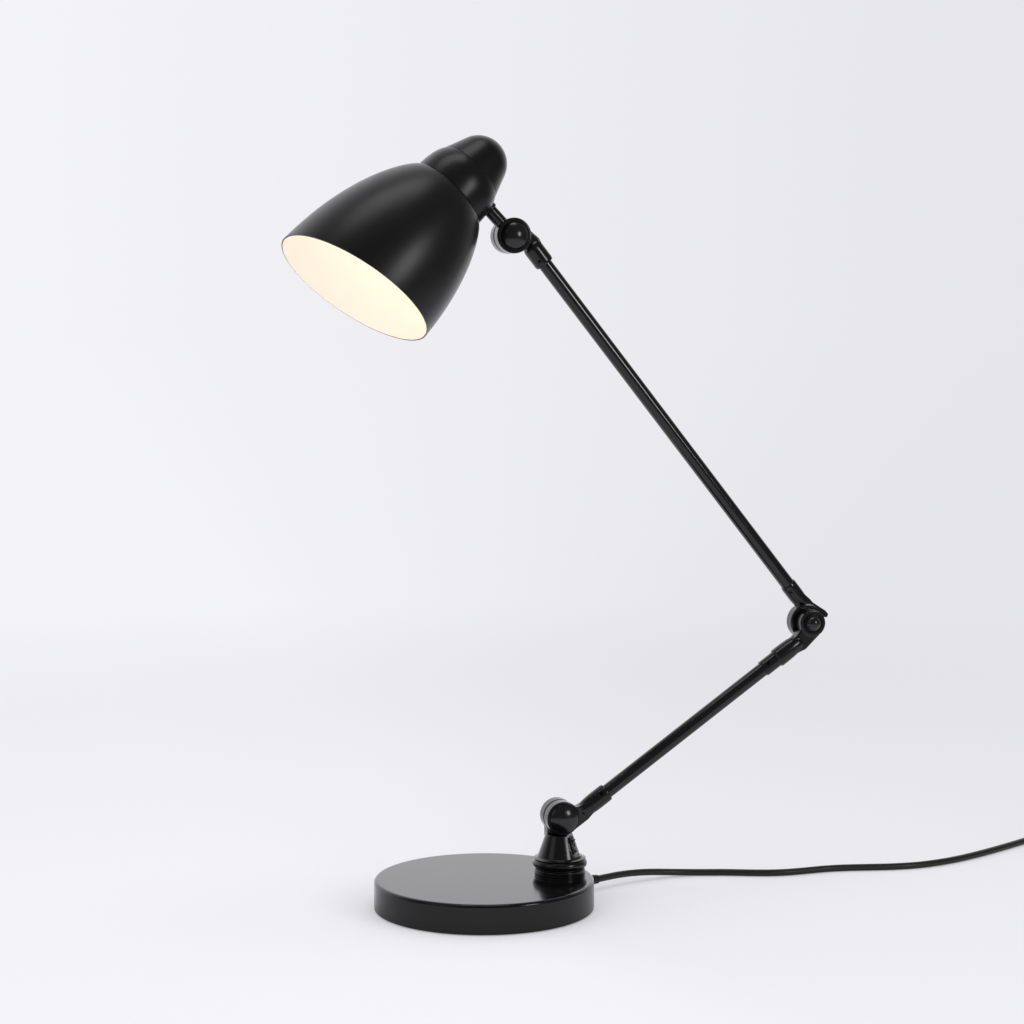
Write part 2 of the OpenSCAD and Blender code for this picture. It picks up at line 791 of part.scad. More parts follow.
module lampholder() {
    profile = [
        [holder_bore_r, holder_low], [holder_skirt_r, holder_low], [holder_skirt_r, 0], [holder_r, 0],
        [holder_r, 19], [holder_r - 3, 22.5], [11, bridge_at], [nipple_r + snug, bridge_at],
        [nipple_r + snug, socket_top + 4], [holder_bore_r - 2, socket_top + 4], [holder_bore_r - 2, socket_top],
        [holder_bore_r, socket_top]
    ];
    color(black) in_head() rotate_extrude() polygon(profile);
}

module holder_contact() {
    color(brass) in_head() {
        translate([0, 0, socket_top + 2.5]) cylinder(r = holder_bore_r - 2.3, h = 1.2);
        translate([0, 0, socket_top]) cylinder(r = 3, h = 2.6);
    }
}

module holder_nipple() {
    color(steel) in_head() tube_z(nipple_r, nipple_bore_r, socket_top + 8, bridge_at + bridge_t + 6);
}

module nipple_nut() {
    color(steel) in_head() translate([0, 0, bridge_at + bridge_t]) difference() {
        cylinder(r = nipple_nut_r, h = 4, $fn = 6);
        translate([0, 0, -1]) cylinder(r = nipple_r + snug, h = 6);
    }
}

function shade_outer(x) = shoulder_r + (mouth_r - shoulder_r) * pow(1 - pow(1 - x / shade_len, 2.2), 0.8);

module shade() {
    w = shade_wall;
    n = 30;
    // Steps crowd towards the shoulder, where the curve is tight
    xs = [for (i = [0:n]) shade_len * pow(i / n, 1.5)];
    outer = [for (x = xs) [shade_outer(x), -x]];
    inner = [for (i = [n:-1:1]) [shade_outer(xs[i]) - w, -xs[i] < -w ? -xs[i] : -w]];
    hole_r = holder_skirt_r + 0.2;
    color(black) in_head() difference() {
        rotate_extrude($fn = 180) polygon(concat([[hole_r, 0]], outer, inner, [[hole_r, -w]]));
        translate([0, 0, -mouth_at]) rotate([-mouth_turn, -mouth_slant, 0])
            translate([0, 0, -60]) cylinder(r = 200, h = 60);
    }
}

module shade_ring() {
    z0 = -shade_wall - shade_ring_t;
    color(black) in_head() tube_z(holder_skirt_r + 4.5, holder_skirt_r + snug, z0, -shade_wall);
}

module bulb_cap() {
    r = bulb_cap_r;
    top = socket_top - loose;
    profile = [
        [neck_r + snug, neck_at + 1], [r + 0.4, neck_at + 1], [r, neck_at + 3], [r, top - 6], [8, top - 2],
        [4.5, top], [0, top], [0, top - 2], [7, top - 4], [neck_r + snug, top - 8]
    ];
    color(brass) in_head() rotate_extrude() polygon(profile);
}

module bulb_glass() {
    w = glass_wall;
    meet = 52;
    top = neck_at + 8;
    outer = concat([[neck_r, top], [neck_r, neck_at]], arc_points([0, bulb_at], bulb_r, meet, -90, 24));
    inner = concat(arc_points([0, bulb_at], bulb_r - w, -90, meet, 24),
        [[neck_r - w, neck_at], [neck_r - w, top]]);
    color(cream) in_head() rotate_extrude() polygon(concat(outer, inner));
}

// Cord, coil and plug

// Rings of a swept tube, joined into one closed solid
module swept_tube(path, headings, r, sides) {
    n = len(path);
    spin = 180 / sides;
    rings = [for (i = [0:n - 1])
        let (t = unit(headings[i]), s = unit(cross(t, [0, 0, 1])), u = cross(s, t))
        for (k = [0:sides - 1]) let (a = spin + 360 * k / sides) path[i] + r * (cos(a) * s + sin(a) * u)];
    walls = [for (i = [0:n - 2]) for (k = [0:sides - 1])
        let (a = i * sides + k, b = i * sides + (k + 1) % sides)
        each [[a, b, b + sides], [a, b + sides, a + sides]]];
    far = (n - 1) * sides;
    caps = [for (k = [1:sides - 2]) each [[0, k + 1, k], [far, far + k, far + k + 1]]];
    polyhedron(points = rings, faces = concat(walls, caps));
}

// A smooth curve through the route's points, two rings a step
function ghost(p, i) = i < 0 ? 2 * p[0] - p[1] : i >= len(p) ? 2 * p[len(p) - 1] - p[len(p) - 2] : p[i];
function between(p, i, t) =
    let (a = ghost(p, i - 1), b = p[i], c = ghost(p, i + 1), d = ghost(p, i + 2))
    0.5 * (2 * b + (c - a) * t + (2 * a - 5 * b + 4 * c - d) * t * t + (3 * b - a - 3 * c + d) * t * t * t);

cord_path = [
    for (i = [0:len(route) - 2]) each [between(route, i, 0), between(route, i, 0.5)],
    route[len(route) - 1]
];
heading_dir = [cos(coil_heading), sin(coil_heading), 0];
cord_headings = [for (i = [0:len(cord_path) - 1])
    i == 0 ? [cos(cord_turn), sin(cord_turn), 0] :
    i == len(cord_path) - 1 ? heading_dir : cord_path[i + 1] - cord_path[i - 1]];

// The coil winds inwards on the table, climbs at its middle and winds outwards on top
coil_centre = [coil_from[0], coil_from[1], 0] + cord_d * heading_dir
    + coil_r * [sin(coil_heading), -cos(coil_heading), 0];
turn_steps = 24;
half_steps = coil_turns * turn_steps;
function climb(d) = d <= -0.25 ? 0 : d >= 0.25 ? 1 : 0.5 - 0.5 * cos((d + 0.25) * 360);
function coil_point(i) =
    let (in = min(i, 2 * half_steps - i), r = coil_r - coil_pitch * in / turn_steps,
        a = coil_heading + 90 - 360 * i / turn_steps, d = (i - half_steps) / turn_steps)
    coil_centre + [r * cos(a), r * sin(a), cord_r + layer_step * climb(d)];
coil_out = coil_point(2 * half_steps);
tail_drop = cord_r + layer_step - plug_t / 2;
function tail_point(t) =
    let (s = max(0, min(1, (t - tail_hold) / (tail_len - tail_hold - cord_d))))
    coil_out + t * heading_dir - [0, 0, tail_drop * (3 * s * s - 2 * s * s * s)];
tail_steps = [for (t = [cord_d:(tail_len - 2 * cord_d) / 5:tail_len - cord_d + 0.01]) t];
coil_path = concat(
    [[coil_from[0], coil_from[1], cord_r]],
    [for (i = [0:2 * half_steps]) coil_point(i)],
    [for (t = tail_steps) tail_point(t)],
    [tail_point(tail_len)]
);
coil_count = len(coil_path);
coil_headings = [for (i = [0:coil_count - 1])
    i <= 1 || i >= coil_count - 2 ? heading_dir : coil_path[i + 1] - coil_path[i - 1]];
plug_from = coil_path[coil_count - 1];

function path_length(p) = total([for (i = [0:len(p) - 2]) norm(p[i + 1] - p[i])]);
// Least distance between stretches of the coil that are not neighbours, less the cord's diameter
coil_gap = min([for (i = [0:coil_count - 1]) for (j = [i + 12:1:coil_count - 1])
    norm(coil_path[i] - coil_path[j])]) - cord_d;

module cord() {
    color(black) swept_tube(cord_path, cord_headings, cord_r, 8);
}

module cord_coil() {
    color(black) swept_tube(coil_path, coil_headings, cord_r, 6);
}

module at_plug() {
    translate(plug_from) rotate([0, 0, coil_heading]) children();
}

module plug_relief() {
    profile = [[0, 0], [4, 0], [5.2, plug_relief_len - 2], [6, plug_relief_len], [0, plug_relief_len]];
    color(black) at_plug() turned_x(profile);
}

module plug_body() {
    w = plug_w / 2;
    x0 = plug_relief_len;
    x1 = plug_relief_len + plug_len;
    outline = concat([[x0, -8]], arc_points([x1 - 12, 3 - w], 3, -120, -90, 4), [[x1, -w]],
        [[x1, w]], arc_points([x1 - 12, w - 3], 3, 90, 120, 4), [[x0, 8]]);
    color(black) at_plug() difference() {
        translate([0, 0, -plug_t / 2]) linear_extrude(height = plug_t) polygon(outline);
        for (s = [-1, 1]) translate([0, s * pin_gap / 2, 0]) rod_x(pin_r + snug, x1 - 8, x1 + 1, $fn = 48);
    }
}

module plug_pins() {
    x1 = plug_relief_len + plug_len;
    profile = [
        [0, x1 - 8], [pin_r, x1 - 8], [pin_r, x1 + pin_len - 1.5], [pin_r - 0.9, x1 + pin_len],
        [0, x1 + pin_len]
    ];
    color(steel) at_plug() for (s = [-1, 1]) translate([0, s * pin_gap / 2, 0]) turned_x(profile);
}

echo(base_pivot = base_pivot, elbow_pivot = elbow_pivot, head_pivot = head_pivot);
echo(coil_gap = coil_gap, cord_length = path_length(cord_path), coil_length = path_length(coil_path));
echo(plug_from = plug_from, coil_centre = coil_centre, ring_y = ring_y);

base_pad();
base_weight();
base_cover();
cover_nuts();
cord_relief();
base_lead();
foot_ring();
swivel_washer();
post();
post_stud();
stud_nut();
stud_washer();
switch_bezel();
switch_rocker();
base_pivot_bolt();
base_pivot_cap();
base_pivot_ring();
base_pivot_washer();
base_pivot_knob();
lower_base_knuckle();
lower_tube();
lower_elbow_knuckle();
lower_screws();
lower_lead();
elbow_bolt();
elbow_cap();
elbow_ring();
elbow_washer();
elbow_knob();
upper_elbow_knuckle();
upper_tube();
upper_head_knuckle();
upper_screws();
upper_lead();
head_pivot_bolt();
head_pivot_cap();
head_pivot_ring();
head_pivot_washer();
head_pivot_knob();
head_stub();
stub_clip();
housing_skirt();
housing_cap();
lampholder();
holder_contact();
holder_nipple();
nipple_nut();
shade();
shade_ring();
bulb_cap();
bulb_glass();
cord();
cord_coil();
plug_relief();
plug_body();
plug_pins();
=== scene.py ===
"""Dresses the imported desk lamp: weighted base, two tubular arms and a lit bell shade.

Pieces are modelled in millimetres around the origin and delivered to their place in metres.
"""

import logging
import math
from dataclasses import dataclass, field
from enum import Enum
from typing import Optional, Sequence

import bpy
from mathutils import Matrix, Vector


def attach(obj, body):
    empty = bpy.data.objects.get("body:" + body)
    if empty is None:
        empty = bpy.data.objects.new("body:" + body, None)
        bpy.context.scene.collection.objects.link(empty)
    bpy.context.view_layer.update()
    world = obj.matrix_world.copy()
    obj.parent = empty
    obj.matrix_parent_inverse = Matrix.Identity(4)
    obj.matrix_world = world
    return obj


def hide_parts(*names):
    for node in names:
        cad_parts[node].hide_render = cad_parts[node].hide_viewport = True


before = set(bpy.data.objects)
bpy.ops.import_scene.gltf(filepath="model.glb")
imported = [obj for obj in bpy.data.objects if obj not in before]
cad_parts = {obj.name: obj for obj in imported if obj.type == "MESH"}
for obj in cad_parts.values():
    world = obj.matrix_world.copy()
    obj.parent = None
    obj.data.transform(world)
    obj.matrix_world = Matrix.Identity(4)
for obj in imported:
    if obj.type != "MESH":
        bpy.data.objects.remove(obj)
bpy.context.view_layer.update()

log = logging.getLogger("desk_lamp")

MM = 0.001
Point = tuple[float, float]
Spot = tuple[float, float, float]
Colour = tuple[float, float, float, float]
Piece = bpy.types.Object
Socket = bpy.types.NodeSocket
Tree = bpy.types.NodeTree

# Sockets of a Mix node: its share, then its two inputs and its result for colours and for plain values
MIX_SHARE, MIX_A, MIX_B, MIX_RESULT = 0, 6, 7, 2
VALUE_A, VALUE_B, VALUE_RESULT = 2, 3, 0
# Between these values lies nearly all of a noise texture
NOISE_SPAN = (0.3, 0.7)


# Frames

def shift(x: float, y: float, z: float) -> Matrix:
    """Return a move in millimetres."""
    return Matrix.Translation((x, y, z))


def turn(axis: str, degrees: float) -> Matrix:
    """Return a turn about one axis of the frame."""
    return Matrix.Rotation(math.radians(degrees), 4, axis)


FORWARD = turn("X", 90)     # a turned piece's +Z points at the viewer, along -Y
BACKWARD = turn("X", -90)   # and here away from the viewer, along +Y
ALONG_X = turn("Y", 90)     # and here along an arm's tube


@dataclass(frozen=True)
class Skeleton:
    """The lamp's driving sizes in millimetres, and the frames that they give."""

    base_r: float = 100.0       # the base, where the cord's strain relief starts
    relief_len: float = 26.0
    exit_turn: float = 17.0     # direction of the relief, seen from above
    exit_z: float = 9.5
    post_x: float = 72.0        # the post's axis, to the right of the base's
    pivot_h: float = 80.0
    lower_len: float = 297.0    # pivot to pivot
    lower_elev: float = 35.0
    upper_len: float = 460.0
    upper_elev: float = 128.7
    lower_off: float = 7.0      # how far each tube's axis lies from the line between its pivots
    elbow_off: float = 8.0
    head_off: float = 11.0
    head_elev: float = 43.8
    head_twist: float = 4.6     # how far the head is turned about its stub
    stub_len: float = 66.8      # from the head's pivot to the head's axis
    stub_up: float = 19.5       # from the shade's shoulder to the stub's axis
    eye_t: float = 12.0
    eye_y: float = 6.5          # each eye's middle plane, in front of the joint's plane or behind it
    ring_y: float = 12.55       # outer face of the eyes, where ring and knob start
    ring_t: float = 1.2
    base_eye_r: float = 15.5    # both eyes of the lowest joint
    head_eye_r: float = 15.9    # and of the head's
    flat_z: float = 53.75       # middle of the flat that carries the switch
    flat_turn: float = -32.0
    flat_out: float = 11.9
    flat_tilt: float = -16.2

    def base_pivot(self) -> Point:
        """Return the lowest pivot as X and Z."""
        return (self.post_x, self.pivot_h)

    def elbow_pivot(self) -> Point:
        """Return the elbow's pivot as X and Z."""
        slope = math.radians(self.lower_elev)
        x, z = self.base_pivot()
        return (x + self.lower_len * math.cos(slope), z + self.lower_len * math.sin(slope))

    def head_pivot(self) -> Point:
        """Find the head's pivot at the far end of the upper arm.

        Returns:
            The pivot's X and Z.
        """
        slope = math.radians(self.upper_elev)
        rise = self.head_off - self.elbow_off
        x, z = self.elbow_pivot()
        return (x + self.upper_len * math.cos(slope) - rise * math.sin(slope),
                z + self.upper_len * math.sin(slope) + rise * math.cos(slope))

    def at_pivot(self, pivot: Point) -> Matrix:
        """Return the frame of a joint, with Y along its bolt."""
        return shift(pivot[0], 0, pivot[1])

    def lower(self) -> Matrix:
        """Return the lower arm's frame, with X along its tube."""
        x, z = self.base_pivot()
        return shift(x, -self.eye_y, z) @ turn("Y", -self.lower_elev) @ shift(0, 0, -self.lower_off)

    def upper(self) -> Matrix:
        """Return the upper arm's frame, with X along its tube."""
        x, z = self.elbow_pivot()
        return shift(x, self.eye_y, z) @ turn("Y", -self.upper_elev) @ shift(0, 0, -self.elbow_off)

    def stub(self) -> Matrix:
        """Return the stub's frame, with X away from the shade."""
        x, z = self.head_pivot()
        return shift(x, -self.eye_y, z) @ turn("Y", 90 - self.head_elev)

    def head(self) -> Matrix:
        """Return the head's frame: Z from mouth to housing, X towards the head's pivot."""
        return self.stub() @ turn("X", -self.head_twist) @ shift(-self.stub_len, 0, -self.stub_up)

    def flat(self) -> Matrix:
        """Return the frame of the flat that carries the switch: X out of it, Z up along it."""
        return (shift(self.post_x, 0, self.flat_z) @ turn("Z", self.flat_turn) @ shift(self.flat_out, 0, 0)
                @ turn("Y", self.flat_tilt))

    def cord_exit(self) -> list[Matrix]:
        """Return the frames of the strain relief, outermost first, with Z out along the cord."""
        return [shift(0, 0, self.exit_z), turn("Z", self.exit_turn), ALONG_X]


BONES = Skeleton()


# Finishes

def linear(colour: str) -> Colour:
    """Turn an sRGB colour of six hex digits after a hash into linear RGBA."""
    parts = [int(colour[i:i + 2], 16) / 255 for i in (1, 3, 5)]
    return tuple(c / 12.92 if c <= 0.04045 else ((c + 0.055) / 1.055) ** 2.4 for c in parts) + (1.0,)


def add_node(tree: Tree, kind: str, values: Optional[dict] = None,
             links: Optional[dict] = None, **settings: object) -> bpy.types.Node:
    """Add a node, set it and link it.

    Args:
        tree: the material's or world's tree.
        kind: the node's type name.
        values: input sockets, by name or number, and their values.
        links: input sockets, by name or number, and the sockets that feed them.
        settings: the node's own options.

    Returns:
        The new node.
    """
    node = tree.nodes.new(kind)
    for name, value in settings.items():
        setattr(node, name, value)
    for name, value in (values or {}).items():
        node.inputs[name].default_value = value
    for name, source in (links or {}).items():
        tree.links.new(source, node.inputs[name])
    return node


def noise(tree: Tree, place: Socket, size_mm: float, detail: float = 2.0) -> Socket:
    """Add a noise texture with features of a size in millimetres, and return its value."""
    return add_node(tree, "ShaderNodeTexNoise", {"Scale": 1.0 / (size_mm * MM), "Detail": detail},
                    {"Vector": place}).outputs["Fac"]


def span(tree: Tree, value: Socket, start: float, end: float, low: float = 0.0, high: float = 1.0,
         kind: str = "LINEAR") -> Socket:
    """Map a value from the range between start and end onto the one between low and high."""
    ends = {"From Min": start, "From Max": end, "To Min": low, "To Max": high}
    return add_node(tree, "ShaderNodeMapRange", ends, {"Value": value},
                    interpolation_type=kind).outputs["Result"]


def mix_colours(tree: Tree, share: Socket, first: Colour, second: Colour) -> Socket:
    """Mix two colours, with a share of the second."""
    return add_node(tree, "ShaderNodeMix", {MIX_A: first, MIX_B: second}, {MIX_SHARE: share},
                    data_type="RGBA").outputs[MIX_RESULT]


def mix_shaders(tree: Tree, share: Socket, first: bpy.types.Node, second: bpy.types.Node) -> bpy.types.Node:
    """Mix two shaders, with a share of the second."""
    return add_node(tree, "ShaderNodeMixShader", None, {0: share, 1: first.outputs[0], 2: second.outputs[0]})


def toned(colour: Sequence[float], share: float) -> Colour:
    """Return a colour made darker or lighter by a share, never above white."""
    return tuple(min(1.0, c * share) for c in colour[:3]) + (1.0,)


@dataclass(frozen=True)
class Finish:
    """A plain surface: one colour with a slow change of tone and gloss, and a fine relief."""

    name: str
    colour: str
    roughness: float
    metallic: float = 0.0
    ior: float = 1.5
    tone: float = 0.12          # how far the colour strays, as a share
    tone_mm: float = 24.0       # size of those patches
    gloss: float = 0.04         # how far the roughness strays
    gloss_mm: float = 9.0
    relief_mm: float = 1.4      # size of the relief's bumps
    relief_depth: float = 0.01  # and their depth, in millimetres
    sheen: float = 0.0

    def relief(self, tree: Tree, place: Socket) -> Socket:
        """Return the height that the bump follows, from the tree and the place in metres."""
        return noise(tree, place, self.relief_mm)

    def extra(self, shader: bpy.types.Node) -> None:
        """Add what this finish has beyond colour, gloss and relief."""

    def material(self) -> bpy.types.Material:
        """Build the material, once.

        Returns:
            The finished material.
        """
        found = bpy.data.materials.get(self.name)
        if found is not None:
            return found
        made = bpy.data.materials.new(self.name)
        made.use_nodes = True
        tree = made.node_tree
        shader = tree.nodes["Principled BSDF"]
        place = add_node(tree, "ShaderNodeTexCoord").outputs["Object"]
        base = linear(self.colour)
        colour = mix_colours(tree, noise(tree, place, self.tone_mm, 3.0), toned(base, 1 - self.tone),
                             toned(base, 1 + self.tone))
        tree.links.new(colour, shader.inputs["Base Color"])
        rough = span(tree, noise(tree, place, self.gloss_mm), *NOISE_SPAN, self.roughness - self.gloss,
                     self.roughness + self.gloss)
        tree.links.new(rough, shader.inputs["Roughness"])
        bump = add_node(tree, "ShaderNodeBump", {"Distance": self.relief_depth * MM, "Strength": 1.0},
                        {"Height": self.relief(tree, place)})
        tree.links.new(bump.outputs["Normal"], shader.inputs["Normal"])
        shader.inputs["Metallic"].default_value = self.metallic
        shader.inputs["IOR"].default_value = self.ior
        shader.inputs["Sheen Weight"].default_value = self.sheen
        self.extra(shader)
        return made


@dataclass(frozen=True)
class Casting(Finish):
    """A casting, bare or enamelled: a slow waviness breaks up its highlights."""

    wave_mm: float = 5.0
    wave_share: float = 0.8

    def relief(self, tree: Tree, place: Socket) -> Socket:
        """Lay the fine bumps on a long wave.

        Args:
            tree: the material's tree.
            place: where the surface is, in metres.

        Returns:
            The height's socket.
        """
        fine = super().relief(tree, place)
        both = add_node(tree, "ShaderNodeMix", {MIX_SHARE: self.wave_share},
                        {VALUE_A: fine, VALUE_B: noise(tree, place, self.wave_mm, 1.0)})
        return both.outputs[VALUE_RESULT]


@dataclass(frozen=True)
class Enamel(Finish):
    """Black enamel baked on sheet steel: even, with a faint orange peel."""

    tone: float = 0.1
    tone_mm: float = 40
    gloss: float = 0.02
    gloss_mm: float = 30
    relief_mm: float = 1.6
    relief_depth: float = 0.004


@dataclass(frozen=True)
class Brushed(Finish):
    """Metal with the fine lines that a lathe or a brush leaves along one axis."""

    metallic: float = 1.0
    relief_mm: float = 0.8
    relief_depth: float = 0.006
    stretch: Spot = (1.0, 1.0, 12.0)

    def relief(self, tree: Tree, place: Socket) -> Socket:
        """Return lines drawn out across the stretched axis."""
        drawn = add_node(tree, "ShaderNodeMapping", {"Scale": self.stretch}, {"Vector": place})
        return super().relief(tree, drawn.outputs["Vector"])


@dataclass(frozen=True)
class Felted(Finish):
    """Pressed fibres: two layers of short hairs, laid across each other."""

    layers: tuple[Spot, ...] = ((1.0, 7.0, 3.0), (7.0, 1.0, 3.0))

    def relief(self, tree: Tree, place: Socket) -> Socket:
        """Draw hairs out in two directions.

        Args:
            tree: the material's tree.
            place: where the surface is, in metres.

        Returns:
            The height's socket.
        """
        hairs = []
        for stretch in self.layers:
            drawn = add_node(tree, "ShaderNodeMapping", {"Scale": stretch}, {"Vector": place})
            hairs.append(super().relief(tree, drawn.outputs["Vector"]))
        return add_node(tree, "ShaderNodeMath", None, {0: hairs[0], 1: hairs[1]},
                        operation="MAXIMUM").outputs[0]


@dataclass(frozen=True)
class Glowing(Finish):
    """Frosted glass with the lamp's own warm light behind it."""

    glow: str = "#FFECD9"
    strength: float = 2.35

    def extra(self, shader: bpy.types.Node) -> None:
        """Light the glass from within."""
        shader.inputs["Emission Color"].default_value = linear(self.glow)
        shader.inputs["Emission Strength"].default_value = self.strength


@dataclass(frozen=True)
class Milky(Finish):
    """Plastic that lets a little light in under its skin."""

    depth_mm: float = 1.0
    share: float = 0.3

    def extra(self, shader: bpy.types.Node) -> None:
        """Let light in to the plastic's depth."""
        shader.inputs["Subsurface Weight"].default_value = self.share
        shader.inputs["Subsurface Scale"].default_value = self.depth_mm * MM


# Cream baked enamel inside the shade: soft gloss that spreads the bulb's light
INNER_ENAMEL = Finish("cream_baked_enamel", "#FBF6EC", 0.34, tone=0.02, tone_mm=50, relief_mm=1.6,
                      relief_depth=0.004)
# The same enamel, smoother, on the domed caps: it mirrors the lamps as small soft spots
DOME_ENAMEL = Casting("smooth_enamel_dome", "#0C0C0D", 0.2, ior=1.6, gloss=0.03, relief_mm=0.9,
                      relief_depth=0.016)


class Slot(Enum):
    """The record's material slots, each with the finish that its pieces wear."""

    # Needle felt: dull, with short crossed hairs
    felt = Felted("needle_felt", "#17171A", 0.95, gloss=0.03, relief_mm=1.2, relief_depth=0.25, sheen=0.4)
    # Sand-cast grey iron, unpainted: dull and grainy
    ballast_iron = Casting("sand_cast_iron", "#46474A", 0.62, metallic=1.0, tone=0.25, tone_mm=8,
                           relief_mm=1.1, relief_depth=0.12)
    # On the pressed cover: glossy enough to mirror the post
    cover_lacquer = Enamel("gloss_baked_enamel", "#0B0B0C", 0.13, ior=1.44, gloss_mm=35, relief_mm=2.2,
                           relief_depth=0.002)
    # Black enamel on zinc castings: semi-gloss, with the casting's waviness in its highlights
    casting_lacquer = Casting("enamelled_zinc_casting", "#0A0A0B", 0.19, ior=1.5, relief_mm=0.9,
                              relief_depth=0.035)
    # Black enamel on drawn steel tube: a thin bright line runs along it
    tube_lacquer = Finish("enamelled_steel_tube", "#0B0B0C", 0.14, ior=1.55, gloss_mm=20, relief_mm=1.2,
                          relief_depth=0.003)
    # On the spun shade: satin, with broad soft highlights
    shade_lacquer = Enamel("satin_baked_enamel", "#0A0A0B", 0.34, ior=1.45)
    # On the housing: the same, a little glossier
    housing_lacquer = Enamel("satin_baked_housing_enamel", "#0A0A0B", 0.31, ior=1.42)
    # Zinc-plated steel: bright, slightly blue, with turning lines
    zinc_steel = Brushed("zinc_plated_steel", "#B9BDC2", 0.3, tone_mm=5)
    # Blackened steel: dark metal with a dry sheen
    black_steel = Brushed("blackened_steel", "#1E1E20", 0.38)
    # Moulded phenolic of the knobs: dark, softly glossy
    knob_plastic = Finish("moulded_phenolic_knob", "#101011", 0.34, relief_mm=0.7, relief_depth=0.012)
    # Black nylon washer: waxy, with a dull sheen
    nylon = Milky("black_nylon", "#161617", 0.42, relief_mm=0.6, relief_depth=0.01)
    # Moulded ABS of the switch: black, with the dull skin of a fine mould grain
    switch_plastic = Finish("moulded_abs_switch", "#0A0A0B", 0.5, relief_mm=0.5, relief_depth=0.006)
    # Braided glass-fibre sleeve round the wires: pale and fibrous
    wire_sleeve = Felted("glass_fibre_sleeve", "#CFC9BA", 0.7, relief_mm=0.9, relief_depth=0.12)
    # Moulded phenolic of the lampholder: black, slightly mottled
    holder_plastic = Finish("moulded_phenolic_holder", "#141314", 0.4, tone=0.2, tone_mm=6, relief_mm=0.8,
                            relief_depth=0.01)
    # Drawn brass: warm yellow metal with fine lines
    brass = Brushed("drawn_brass", "#C9A35A", 0.28, tone_mm=6)
    # Frosted glass of a lit bulb
    frosted_glass = Glowing("frosted_bulb_glass", "#FFF4E0", 0.5, relief_mm=0.8, relief_depth=0.01)
    # Extruded PVC sheath: soft black with a low sheen and slight lengthwise unevenness
    cord_pvc = Finish("extruded_pvc_sheath", "#131315", 0.42, tone=0.15, tone_mm=12, gloss=0.05,
                      relief_mm=2.0, relief_depth=0.03)
    # Moulded PVC of the plug and the strain reliefs: finely sparked texture
    plug_plastic = Finish("moulded_pvc_plug", "#121213", 0.48, relief_mm=0.6, relief_depth=0.03)


# Bench

def arc(centre: Point, radius: float, start: float, end: float, steps: int = 8) -> list[Point]:
    """Return the points of an arc, with angles in degrees: one more than there are steps."""
    angles = [math.radians(start + (end - start) * i / steps) for i in range(steps + 1)]
    return [(centre[0] + radius * math.cos(a), centre[1] + radius * math.sin(a)) for a in angles]


def ridges(count: int, start: float, pitch: float, shape: Sequence[Point]) -> list[Point]:
    """Repeat a short profile along the axis, as a thread does."""
    return [(r, start + pitch * i + rise) for i in range(count) for r, rise in shape]


